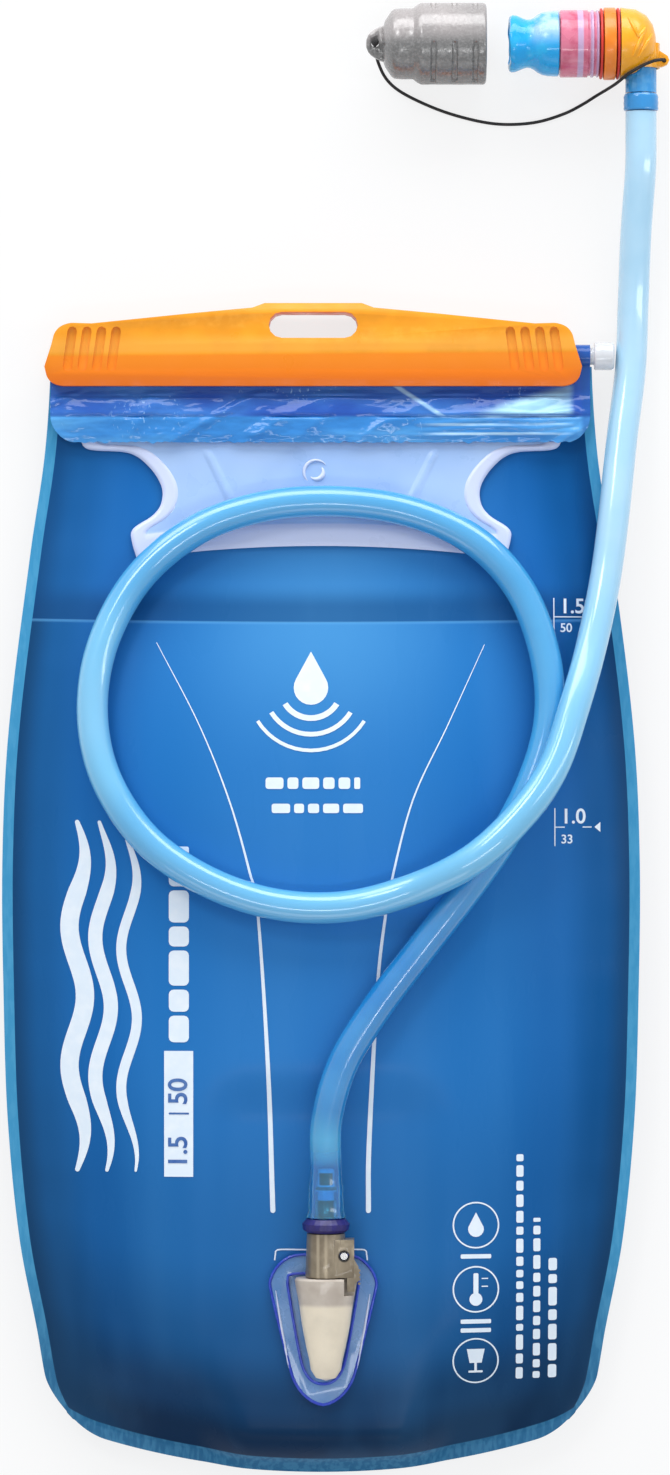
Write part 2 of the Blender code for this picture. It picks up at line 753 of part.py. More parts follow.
def build_plug():
    """The plug with its ear for the lever, the barb, the collar, and what moves with them."""
    centre = Vector((port_x, port_y + gap, port_z))
    top = plug_length
    nose = -seat_depth
    profile = [
        (plug_radius - 0.0004, top),
        (plug_radius, 0.0),
        (spigot_radius, 0.0),
        (spigot_radius, -oring_start),
        (groove_radius, -oring_start),
        (groove_radius, -oring_start - oring_room),
        (spigot_radius, -oring_start - oring_room),
        (spigot_radius, nose + 0.0012),
        (spigot_radius - 0.0008, nose),
        (water_bore, nose),
        (water_bore, top),
    ]
    plug = turned("plug_body", profile, "+Y", centre, taupe, 24)

    def block(name, low_corner, high_corner):
        return box(name, centre + Vector(low_corner), centre + Vector(high_corner))

    cut(plug, block("plug_ear", (slot_floor - 0.0002, 0.0001, -0.0022), (ear_reach, ear_top, ear_high)),
        "UNION")
    bore_again = rod("plug_water_bore", centre + Vector((0, nose - 0.0015, 0)),
                     centre + Vector((0, top + 0.0020, 0)), water_bore)
    cut(plug, bore_again)
    low = lever_low - gap
    high = lever_high + gap
    beyond = ear_reach + 0.0052
    cut(plug, block("lever_slot", (slot_floor, 0.0008, low), (beyond, 0.0092, high)))
    cut(plug, block("lever_slot_mouth", (0.0052, -0.0010, low), (beyond, 0.0020, high)))
    pin_at = centre + Vector((lever_pin_x, lever_pin_up, 0))
    cut(plug, rod("pin_hole", pin_at - Vector((0, 0, 0.008)), pin_at + Vector((0, 0, 0.008)),
                  pin_radius + gap))
    cut(plug, block("nose_slot", (-0.0006, nose - 0.0010, -0.0060), (0.0006, nose + 0.0013, 0.0060)))

    ring_top = -oring_start - 0.0002
    ring_foot = -oring_start - oring_room + 0.0002
    ring = [
        (spigot_radius + oring_proud, ring_top), (spigot_radius + oring_proud, ring_foot),
        (groove_radius + gap, ring_foot), (groove_radius + gap, ring_top),
    ]
    seal = turned("plug_oring", ring, "+Y", centre, seal_rubber, 24)

    base = top + gap
    foot = base + 0.0042
    barb_end = base + barb_length
    barb = [
        (barb_radius - 0.0002, barb_end),
        (barb_radius, barb_end - 0.0008),
        (barb_radius, barb_end - 0.0044),
        (hose_bore - 0.0002, barb_end - 0.0056),
        (hose_bore - 0.0002, barb_end - 0.0062),
        (barb_radius, barb_end - 0.0062),
        (barb_radius, base + 0.0087),
        (hose_bore - 0.0003, base + 0.0087),
        (hose_bore - 0.0003, foot),
        (barb_radius, foot),
        (barb_radius, base),
        (barb_bore, base),
        (barb_bore, barb_end),
    ]
    stem = turned("hose_barb", barb, "+Y", centre, indigo, 20)
    collar = [
        (plug_radius - 0.0004, base + 0.0039),
        (collar_radius, base + 0.0024),
        (collar_radius - 0.0002, base + 0.0008),
        (plug_radius - 0.0004, base),
        (barb_radius + gap, base),
        (barb_radius + gap, base + 0.0039),
    ]
    nut = turned("plug_collar", collar, "+Y", centre, indigo, 24)
    sleeve = [
        (hose_radius, barb_end - gap),
        (hose_radius + 0.0006, barb_end - 0.0056),
        (hose_radius + 0.0006, foot + 0.0010),
        (hose_radius + 0.0012, foot),
        (hose_bore + 0.0001, foot),
        (hose_bore + 0.0001, barb_end - gap),
    ]
    end = turned("hose_end", sleeve, "+Y", centre, hose_blue, 20)

    pin = rod("lever_pin", pin_at + Vector((0, 0, -0.0022)), pin_at + Vector((0, 0, ear_high + 0.0002)),
              pin_radius, steel, 16, parts)
    spring_at = centre + Vector((slot_floor + gap + lever_wire, 0.0016, (lever_low + lever_high) / 2))
    spring = coil("lever_spring", spring_at, Vector((1, 0, 0)), 0.0021, 0.0006, lever_wire, 3)
    carry(joint_parent("plug_axis", centre), plug, seal, stem, nut, end, pin, spring)

    hook_end = -catch_depth - lever_pin_up
    shape = [
        (-0.0010, 0.0016),
        (0.0008, 0.0018),
        (0.0024, -0.0004),
        (0.0040, -0.0032),
        (0.0044, -0.0068),
        (0.0034, -0.0075),
        (0.0029, -0.0075),
        (0.0029, hook_end),
        (0.0009, hook_end),
        (0.0007, -0.0036),
        (-0.0012, -0.0022),
        (-0.0019, -0.0004),
        (-0.0018, 0.0008),
    ]
    lever = flat_outline("release_lever", shape, lever_high - lever_low, taupe)
    lever.location = pin_at + Vector((0, 0, (lever_low + lever_high) / 2))
    hole = rod("lever_hole", pin_at - Vector((0, 0, 0.008)), pin_at + Vector((0, 0, 0.008)),
               pin_radius + gap)
    cut(lever, hole)
    carry(joint_parent("lever_axis", pin_at), lever)


# The hose, from the plug over the pouch and back up past the clip to the bite valve

HOSE_ROUTE = [
    (0.0014, -0.0770, 0.0290), (0.0016, -0.0640, 0.0290), (0.0060, -0.0485, 0.0289), (0.0150, -0.0335, 0.0288),
    (0.0270, -0.0175, 0.0288), (0.0390, -0.0020, 0.0287), (0.0500, 0.0135, 0.0276), (0.0585, 0.0295, 0.0257),
    (0.0634, 0.0465, 0.0229), (0.0626, 0.0640, 0.0201), (0.0560, 0.0825, 0.0177), (0.0435, 0.0965, 0.0172),
    (0.0260, 0.1048, 0.0160), (0.0060, 0.1080, 0.0155), (-0.0150, 0.1068, 0.0157), (-0.0345, 0.1002, 0.0168),
    (-0.0505, 0.0870, 0.0173), (-0.0605, 0.0690, 0.0196), (-0.0636, 0.0500, 0.0222), (-0.0600, 0.0315, 0.0253),
    (-0.0490, 0.0145, 0.0278), (-0.0330, 0.0030, 0.0288), (-0.0140, -0.0038, 0.0288), (0.0060, -0.0048, 0.0291),
    (0.0250, 0.0000, 0.0312), (0.0415, 0.0082, 0.0368), (0.0545, 0.0200, 0.0368), (0.0640, 0.0335, 0.0340),
    (0.0705, 0.0515, 0.0284), (0.0755, 0.0685, 0.0205), (0.0796, 0.0875, 0.0150), (0.0822, 0.1065, 0.0122),
    (0.0844, 0.1260, 0.0085), (0.0870, 0.1460, 0.0052), (0.0878, 0.1660, 0.0052), (0.0884, 0.1840, 0.0078),
    (0.0895, 0.2010, 0.0109), (0.0896, 0.2110, 0.0114), (0.0896, 0.2173, 0.0114),
]


def build_hose():
    tube("hose", route(HOSE_ROUTE, 0.0125), hose_radius, hose_blue, 4)


# The bite valve

def build_swivel():
    """The spigot in the hose's end, which the elbow turns on."""
    foot = Vector((swivel_x, valve_y - 0.0188, valve_z))
    top = spigot_length
    groove = swivel_radius - oring_groove
    spigot = [
        (swivel_radius, top),
        (swivel_radius, top - 0.0019),
        (groove, top - 0.0019),
        (groove, top - 0.0031),
        (swivel_radius, top - 0.0031),
        (swivel_radius, 0.0050),
        (hose_bore - gap, 0.0050),
        (hose_bore - gap, 0.0),
        (swivel_bore, 0.0),
        (swivel_bore, top),
    ]
    turned("swivel_spigot", spigot, "+Y", foot, valve_blue, 20)
    seal = [
        (swivel_radius + oring_proud, top - 0.0021),
        (swivel_radius + oring_proud, top - 0.0029),
        (groove + 0.0002, top - 0.0029),
        (groove + 0.0002, top - 0.0021),
    ]
    turned("swivel_oring", seal, "+Y", foot, seal_rubber, 20)
    collar = [
        (hose_radius + 0.0003, 0.0047),
        (hose_radius + 0.0005, 0.0038),
        (hose_radius + 0.0005, 0.0006),
        (hose_radius + 0.0002, 0.0),
        (hose_bore, 0.0),
        (hose_bore, 0.0047),
    ]
    turned("hose_collar", collar, "+Y", foot, valve_blue, 20)


def build_elbow():
    """The elbow over the spigot, with the eyelet that keeps the cap's tether."""
    axis = Vector((0, valve_y, valve_z))
    dome_end = elbow_start + 0.0102
    profile = [
        (0.0, dome_end),
        (valve_radius - 0.0076, dome_end - 0.0003),
        (valve_radius - 0.0047, dome_end - 0.0011),
        (valve_radius - 0.0022, dome_end - 0.0029),
        (valve_radius - 0.0005, dome_end - 0.0059),
        (valve_radius, elbow_start),
        (0.0, elbow_start),
    ]
    elbow = turned("valve_elbow", profile, "+X", axis, orange, 28, ring=False)
    skirt_foot = Vector((swivel_x, valve_y - 0.0070, valve_z))
    heart = Vector((swivel_x, valve_y, valve_z))
    cut(elbow, rod("elbow_skirt", skirt_foot, heart, swivel_radius + 0.0009, steps=24), "UNION")
    lug = [
        (-0.0055, -0.0021), (-0.0005, -0.0017), (0.0009, -0.0011), (0.0015, 0.0001), (0.0010, 0.0013),
        (-0.0015, 0.0029), (-0.0035, 0.0048), (-0.0060, 0.0048),
    ]
    eyelet = flat_outline("elbow_lug", lug, 0.0024, None, cutters)
    eyelet.location = (eyelet_x, eyelet_y, valve_z)
    cut(elbow, eyelet, "UNION")
    cut(elbow, rod("spigot_bore", skirt_foot - Vector((0, 0.006, 0)), heart, swivel_radius + 0.0004,
                   steps=24))
    cut(elbow, rod("stub_bore", heart - Vector((swivel_x - elbow_start + 0.002, 0, 0)), heart,
                   neck_radius, steps=24))
    hole = Vector((eyelet_x, eyelet_y, valve_z))
    cut(elbow, rod("eyelet_hole", hole - Vector((0, 0, 0.004)), hole + Vector((0, 0, 0.004)),
                   tether_radius + 0.0002, steps=12))
    seal = ring_profile(valve_radius - 0.0001, neck_radius, ring_start + ring_length + gap,
                        elbow_start - gap)
    rear = turned("rear_seal", seal, "+X", axis, seal_rubber, 28)
    carry(joint_parent("elbow_axis", skirt_foot), elbow, rear)


def ring_profile(outer, inner, start, end):
    return [(outer, end), (outer, start), (inner, start), (inner, end)]


def build_head():
    """What twists to shut the valve: the lock ring, the core, and the silicone tip with its slit."""
    axis = Vector((0, valve_y, valve_z))
    shape = ring_profile(valve_radius, neck_radius, ring_start, ring_start + ring_length)
    ring = turned("lock_ring", shape, "+X", axis, orange, 28)
    shape = ring_profile(valve_radius - 0.0002, neck_radius, ring_start - 0.0010, ring_start - gap)
    front = turned("front_seal", shape, "+X", axis, seal_rubber, 28)
    shoulder = ring_start - 0.0010 - gap
    stub = neck_radius - gap
    core = [
        (stub, stub_end),
        (stub, shoulder),
        (core_radius, shoulder),
        (core_radius, core_start),
        (core_nose, core_start),
        (core_nose, core_start - nose_length),
        (core_bore, core_start - nose_length),
        (core_bore, stub_end),
    ]
    body = turned("valve_core", core, "+X", axis, pink, 28)
    start = tip_start
    tip = [
        (core_radius - 0.0001, core_start - gap),
        (core_radius - 0.0004, start + 0.0096),
        (core_radius - 0.0014, start + 0.0078),
        (slit_radius + 0.0013, start + 0.0059),
        (tip_radius - 0.0004, start + 0.0047),
        (tip_radius, start + 0.0011),
        (tip_radius - 0.0004, start),
        (slit_radius + 0.0007, start),
        (slit_radius, start + 0.0030),
        (slit_radius, start + 0.0061),
        (core_nose + gap, start + 0.0078),
        (core_nose + gap, core_start - gap),
    ]
    bite = turned("bite_tip", tip, "+X", axis, silicone, 28)
    disc = slit_radius - gap
    sheet_profile = [
        (0.0, start + 0.0049), (disc, start + 0.0049), (disc, start + 0.0041), (0.0, start + 0.0041),
    ]
    membrane = turned("slit_membrane", sheet_profile, "+X", axis, silicone, 20, ring=False)
    slit = box("slit", (start + 0.0030, valve_y - 0.0030, valve_z - 0.0002),
               (start + 0.0060, valve_y + 0.0030, valve_z + 0.0002))
    cut(membrane, slit)
    carry(joint_parent("head_axis", (ring_start, valve_y, valve_z)), ring, front, body, bite, membrane)


def build_cap():
    """The dust cap, drawn off the valve on its tether."""
    axis = Vector((0, valve_y, valve_z))
    mouth = cap_mouth
    end = cap_floor - 0.0035
    profile = [
        (0.0, cap_floor),
        (cap_narrow_bore, cap_floor),
        (cap_narrow_bore, cap_floor + 0.0064),
        (cap_bore, cap_floor + 0.0069),
        (cap_bore, mouth),
        (cap_radius - 0.0003, mouth),
        (cap_radius, mouth - 0.0005),
        (cap_radius, cap_floor + 0.0074),
        (cap_radius - 0.0004, cap_floor + 0.0059),
        (cap_narrow, cap_floor + 0.0052),
        (cap_narrow, cap_floor - 0.0001),
        (cap_narrow - 0.0006, cap_floor - 0.0011),
        (0.0055, end),
        (0.0, end),
    ]
    cap = turned("dust_cap", profile, "+X", axis, cap_grey, 28, ring=False)
    lug_half = [(0.0030, 0.0053), (-0.0001, 0.0040), (-0.0019, 0.0024), (-0.0025, 0.0)]
    outline = lug_half + [(x, -y) for x, y in reversed(lug_half[:-1])]
    lug = flat_outline("cap_lug", outline, 0.0030, None, cutters)
    lug.location = (cap_eye_x, valve_y, valve_z)
    cut(cap, lug, "UNION")
    hole = Vector((cap_eye_x, valve_y, valve_z))
    cut(cap, rod("cap_eye", hole - Vector((0, 0, 0.004)), hole + Vector((0, 0, 0.004)), 0.0011, steps=14))
    knot = ball("cap_knot", hole + Vector((0, 0, 0.0018 + gap + 0.0011)), 0.0011)
    carry(joint_parent("cap_axis", (mouth, valve_y, valve_z)), cap, knot)


def ball(name, centre, radius):
    shape = bmesh.new()
    bmesh.ops.create_uvsphere(shape, u_segments=10, v_segments=6, radius=radius)
    data = bpy.data.meshes.new(name)
    shape.to_mesh(data)
    shape.free()
    smooth(data)
    thing = add(name, data, cord_black)
    thing.location = centre
    return thing


# The tether: down through the cap's eye, along the ground, and over the elbow to its eyelet
TETHER_ROUTE = [
    (0.0151, 0.2364, 0.0132), (0.0151, 0.2364, 0.0095), (0.0152, 0.2352, 0.0062), (0.0162, 0.2318, 0.0032),
    (0.0182, 0.2280, 0.0013), (0.0217, 0.2247, 0.0007), (0.0280, 0.2213, 0.0006), (0.0361, 0.2181, 0.0006),
    (0.0455, 0.2157, 0.0006), (0.0530, 0.2150, 0.0006), (0.0610, 0.2157, 0.0006), (0.0685, 0.2180, 0.0006),
    (0.0735, 0.2205, 0.0008), (0.0776, 0.2229, 0.0027), (0.0806, 0.2243, 0.0072), (0.0828, 0.2253, 0.0125),
    (0.0856, 0.2272, 0.0170), (0.0893, 0.2293, 0.0182), (0.0928, 0.2309, 0.0173), (0.0952, 0.2315, 0.0152),
    (0.0960, 0.2316, 0.0128), (0.0960, 0.2316, 0.0099),
]


def build_tether():
    tube("cap_tether", route(TETHER_ROUTE, 0.0024), tether_radius, cord_black, 2)
    end = Vector(TETHER_ROUTE[-1])
    ball("elbow_knot", end - Vector((0, 0, gap + 0.0009)), 0.0009)


def main():
    """Builds every piece."""
    build_films()
    build_mouth_band()
    build_rail()
    build_flap()
    build_clip()
    build_flange()
    build_socket()
    build_poppet()
    build_plug()
    build_hose()
    build_swivel()
    build_elbow()
    build_head()
    build_cap()
    build_tether()


main()
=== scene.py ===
"""Hydration bladder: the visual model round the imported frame, seen from straight above."""
import math
import random

import bmesh
import bpy
from mathutils import Matrix, Vector, noise


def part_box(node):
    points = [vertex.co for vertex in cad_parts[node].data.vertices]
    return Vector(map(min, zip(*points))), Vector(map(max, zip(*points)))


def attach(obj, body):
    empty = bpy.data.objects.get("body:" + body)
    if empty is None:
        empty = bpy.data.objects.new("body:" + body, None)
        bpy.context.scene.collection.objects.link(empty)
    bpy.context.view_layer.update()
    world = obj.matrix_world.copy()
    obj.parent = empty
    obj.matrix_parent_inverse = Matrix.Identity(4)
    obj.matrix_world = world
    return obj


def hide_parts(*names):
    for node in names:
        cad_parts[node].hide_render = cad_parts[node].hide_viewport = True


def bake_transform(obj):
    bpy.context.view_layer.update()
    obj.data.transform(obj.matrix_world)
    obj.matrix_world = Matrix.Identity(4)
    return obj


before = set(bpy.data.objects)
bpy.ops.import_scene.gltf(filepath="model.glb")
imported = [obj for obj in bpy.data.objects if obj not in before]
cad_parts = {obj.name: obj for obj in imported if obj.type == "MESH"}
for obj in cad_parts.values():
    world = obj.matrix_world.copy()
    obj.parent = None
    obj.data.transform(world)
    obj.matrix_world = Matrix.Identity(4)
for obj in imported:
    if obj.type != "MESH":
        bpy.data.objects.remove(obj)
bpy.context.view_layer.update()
scene = bpy.context.scene
dice = random.Random(7)

# Sizes and places shared with the CAD, in metres
gap = 0.0003
overall_length = 0.3276
bag_width = 0.1786
bag_height = 0.0238
film = 0.0006
weld_band = 0.0032
corner_radius = 0.0120
bottom_arc_radius = 0.2128
seam_lift = 0.0040
side_run = 0.0550
bottom_run = 0.0400
neck_run = 0.1100
back_run = 0.0300
back_neck_run = 0.0350
clip_bottom_y = 0.1406
rail_y = 0.1492
neck_z = 0.0065
rail_radius = 0.0024
film_pitch = film + gap
film_top_y = rail_y - rail_radius - 2 * gap
neck_y = clip_bottom_y - 0.0126
bag_bottom_y = -overall_length / 2
port_x, port_y, port_z = 0.0014, -0.1075, 0.029025
port_rise = 0.0205
shelf_half_width = 0.0200
shelf_half_length = 0.0420
shelf_run = 0.0180
hose_radius = 0.0044
hose_bore = 0.0032
valve = Vector((0.0, 0.2364, 0.0114))
swivel_x = 0.0896
barb_foot_y, barb_end_y = -0.0907, -0.0773

HOSE_ROUTE = [
    (0.0014, -0.0770, 0.0290), (0.0016, -0.0640, 0.0290), (0.0060, -0.0485, 0.0289),
    (0.0150, -0.0335, 0.0288), (0.0270, -0.0175, 0.0288), (0.0390, -0.0020, 0.0287),
    (0.0500, 0.0135, 0.0276), (0.0585, 0.0295, 0.0257), (0.0634, 0.0465, 0.0229),
    (0.0626, 0.0640, 0.0201), (0.0560, 0.0825, 0.0177), (0.0435, 0.0965, 0.0172),
    (0.0260, 0.1048, 0.0160), (0.0060, 0.1080, 0.0155), (-0.0150, 0.1068, 0.0157),
    (-0.0345, 0.1002, 0.0168), (-0.0505, 0.0870, 0.0173), (-0.0605, 0.0690, 0.0196),
    (-0.0636, 0.0500, 0.0222), (-0.0600, 0.0315, 0.0253), (-0.0490, 0.0145, 0.0278),
    (-0.0330, 0.0030, 0.0288), (-0.0140, -0.0038, 0.0288), (0.0060, -0.0048, 0.0291),
    (0.0250, 0.0000, 0.0312), (0.0415, 0.0082, 0.0368), (0.0545, 0.0200, 0.0368),
    (0.0640, 0.0335, 0.0340), (0.0705, 0.0515, 0.0284), (0.0755, 0.0685, 0.0205),
    (0.0796, 0.0875, 0.0150), (0.0822, 0.1065, 0.0122), (0.0844, 0.1260, 0.0085),
    (0.0870, 0.1460, 0.0052), (0.0878, 0.1660, 0.0052), (0.0884, 0.1840, 0.0078),
    (0.0895, 0.2010, 0.0109), (0.0896, 0.2110, 0.0114), (0.0896, 0.2173, 0.0114),
]
TETHER_ROUTE = [
    (0.0151, 0.2364, 0.0132), (0.0151, 0.2364, 0.0095), (0.0152, 0.2352, 0.0062),
    (0.0162, 0.2318, 0.0032), (0.0182, 0.2280, 0.0013), (0.0217, 0.2247, 0.0007),
    (0.0280, 0.2213, 0.0006), (0.0361, 0.2181, 0.0006), (0.0455, 0.2157, 0.0006),
    (0.0530, 0.2150, 0.0006), (0.0610, 0.2157, 0.0006), (0.0685, 0.2180, 0.0006),
    (0.0735, 0.2205, 0.0008), (0.0776, 0.2229, 0.0027), (0.0806, 0.2243, 0.0072),
    (0.0828, 0.2253, 0.0125), (0.0856, 0.2272, 0.0170), (0.0893, 0.2293, 0.0182),
    (0.0928, 0.2309, 0.0173), (0.0952, 0.2315, 0.0152), (0.0960, 0.2316, 0.0128),
    (0.0960, 0.2316, 0.0099),
]
tether_radius = 0.00045


# Small tools

def between(low, high, share):
    return low + (high - low) * share


def clamp(value):
    return min(max(value, 0.0), 1.0)


def ease(value):
    t = clamp(value)
    return t * t * (3 - 2 * t)


def dome(value):
    return 1 - (1 - clamp(value)) ** 2


def through(points, at):
    """The value at one place on a smooth curve through (place, value) points."""
    last = len(points) - 1
    i = 0
    while i < last - 1 and at > points[i + 1][0]:
        i += 1

    def slope(k):
        low, high = max(k - 1, 0), min(k + 1, last)
        return (points[high][1] - points[low][1]) / (points[high][0] - points[low][0])

    (x0, y0), (x1, y1) = points[i], points[i + 1]
    span = x1 - x0
    t = (at - x0) / span
    return ((2 * t ** 3 - 3 * t ** 2 + 1) * y0 + (t ** 3 - 2 * t ** 2 + t) * span * slope(i)
            + (3 * t ** 2 - 2 * t ** 3) * y1 + (t ** 3 - t ** 2) * span * slope(i + 1))


def straight(points, at):
    """The value at one place on straight runs between (place, value) points."""
    if at <= points[0][0]:
        return points[0][1]
    for (x0, y0), (x1, y1) in zip(points, points[1:]):
        if at <= x1:
            return between(y0, y1, (at - x0) / (x1 - x0))
    return points[-1][1]


def spline(points, spacing):
    """Evenly spaced points on a smooth curve through the given ones."""
    knots = [2 * Vector(points[0]) - Vector(points[1])] + [Vector(p) for p in points]
    knots.append(2 * Vector(points[-1]) - Vector(points[-2]))
    fine = []
    for i in range(1, len(knots) - 2):
        p0, p1, p2, p3 = knots[i - 1:i + 3]
        for step in range(24):
            t = step / 24
            fine.append(0.5 * (2 * p1 + (p2 - p0) * t + (2 * p0 - 5 * p1 + 4 * p2 - p3) * t ** 2
                               + (3 * p1 - p0 - 3 * p2 + p3) * t ** 3))
    fine.append(knots[-2])
    length = sum((b - a).length for a, b in zip(fine, fine[1:]))
    count = max(2, round(length / spacing))
    even = [fine[0]]
    walked = 0.0
    for a, b in zip(fine, fine[1:]):
        step = (b - a).length
        while len(even) < count and walked + step >= len(even) * length / count:
            even.append(a.lerp(b, (len(even) * length / count - walked) / step))
        walked += step
    even.append(fine[-1])
    return even


def near_line(point, start, end):
    run = end - start
    t = clamp((point - start).dot(run) / run.length_squared)
    return (point - start - run * t).length


def length_of(points):
    return sum((Vector(b) - Vector(a)).length for a, b in zip(points, points[1:]))


def linear(red, green, blue):
    """A screen colour, 0 to 255, as the shader's own numbers."""
    out = []
    for part in (red, green, blue):
        c = part / 255
        out.append(c / 12.92 if c <= 0.04045 else ((c + 0.055) / 1.055) ** 2.4)
    return (*out, 1.0)


# Camera, light and floor: the camera looks straight down, as in the photograph

LENS = 135.0
SENSOR = 36.0
VIEW_TALL = 0.413            # what the frame spans down the picture, in metres
view_middle = Vector((0.0039, 0.0421, 0.0120))

camera_data = bpy.data.cameras.new("camera")
camera_data.lens = LENS
camera_data.sensor_fit = "VERTICAL"
camera_data.sensor_height = SENSOR
camera_data.clip_start = 0.05
camera = bpy.data.objects.new("camera", camera_data)
camera.location = view_middle + Vector((0, 0, LENS * VIEW_TALL / SENSOR))
scene.collection.objects.link(camera)
scene.camera = camera
scene.view_settings.view_transform = "Standard"

world = bpy.data.worlds.new("studio")
scene.world = world
world.use_nodes = True
tree = world.node_tree
tree.nodes.clear()
out = tree.nodes.new("ShaderNodeOutputWorld")
rays = tree.nodes.new("ShaderNodeLightPath")
seen = tree.nodes.new("ShaderNodeMath")
seen.operation = "MAXIMUM"
seen_too = tree.nodes.new("ShaderNodeMath")
seen_too.operation = "MAXIMUM"
soft = tree.nodes.new("ShaderNodeBackground")
soft.inputs["Color"].default_value = (0.93, 0.96, 1.0, 1.0)
soft.inputs["Strength"].default_value = 0.47
white = tree.nodes.new("ShaderNodeBackground")
white.inputs["Strength"].default_value = 1.0
mix = tree.nodes.new("ShaderNodeMixShader")
tree.links.new(rays.outputs["Is Camera Ray"], seen.inputs[0])
tree.links.new(rays.outputs["Is Transmission Ray"], seen.inputs[1])
tree.links.new(seen.outputs[0], seen_too.inputs[0])
tree.links.new(rays.outputs["Is Glossy Ray"], seen_too.inputs[1])
tree.links.new(seen_too.outputs[0], mix.inputs[0])
tree.links.new(soft.outputs[0], mix.inputs[1])
tree.links.new(white.outputs[0], mix.inputs[2])
tree.links.new(mix.outputs[0], out.inputs["Surface"])


def lamp(name, place, aim, wide, tall, power, tint=(1.0, 1.0, 1.0)):
    data = bpy.data.lights.new(name, "AREA")
    data.shape = "RECTANGLE"
    data.size = wide
    data.size_y = tall
    data.energy = power
    data.color = tint
    thing = bpy.data.objects.new(name, data)
    thing.location = place
    thing.rotation_euler = (Vector(aim) - Vector(place)).to_track_quat("-Z", "Y").to_euler()
    scene.collection.objects.link(thing)


lamp("key", (-0.50, 0.80, 1.00), (0, 0.03, 0), 0.34, 0.30, 2.6)
lamp("horizon", (0.0, 1.10, 0.42), (0, 0.05, 0), 1.90, 0.60, 16.0)
lamp("glint", (0.05, -0.36, 1.15), (0, 0.12, 0), 0.80, 0.07, 1.8)
lamp("fill", (0.85, 0.10, 0.75), (0, 0.03, 0), 0.12, 0.90, 1.7, (0.95, 0.98, 1.0))
lamp("low", (-0.20, -0.80, 0.50), (0, 0.0, 0), 0.90, 0.30, 0.9)

floor_mesh = bpy.data.meshes.new("floor")
floor_mesh.from_pydata([(-3, -3, 0), (3, -3, 0), (3, 3, 0), (-3, 3, 0)], [], [(0, 1, 2, 3)])
floor = bpy.data.objects.new("floor", floor_mesh)
floor.location.z = -0.0002
scene.collection.objects.link(floor)
floor_look = bpy.data.materials.new("floor")
floor_look.use_nodes = True
tree = floor_look.node_tree
tree.nodes.clear()
out = tree.nodes.new("ShaderNodeOutputMaterial")
matte = tree.nodes.new("ShaderNodeBsdfDiffuse")
matte.inputs["Color"].default_value = (0.86, 0.87, 0.88, 1.0)
glow = tree.nodes.new("ShaderNodeEmission")
glow.inputs["Strength"].default_value = 1.0
rays = tree.nodes.new("ShaderNodeLightPath")
share = tree.nodes.new("ShaderNodeMath")
share.operation = "MULTIPLY"
share.inputs[1].default_value = 0.78
seen = tree.nodes.new("ShaderNodeMath")
seen.operation = "MAXIMUM"
seen_too = tree.nodes.new("ShaderNodeMath")
seen_too.operation = "MAXIMUM"
mix = tree.nodes.new("ShaderNodeMixShader")
tree.links.new(rays.outputs["Is Camera Ray"], seen.inputs[0])
tree.links.new(rays.outputs["Is Transmission Ray"], seen.inputs[1])
tree.links.new(seen.outputs[0], seen_too.inputs[0])
tree.links.new(rays.outputs["Is Glossy Ray"], seen_too.inputs[1])
tree.links.new(seen_too.outputs[0], share.inputs[0])
tree.links.new(share.outputs[0], mix.inputs[0])
tree.links.new(matte.outputs[0], mix.inputs[1])
tree.links.new(glow.outputs[0], mix.inputs[2])
tree.links.new(mix.outputs[0], out.inputs["Surface"])
floor_mesh.materials.append(floor_look)


# Materials

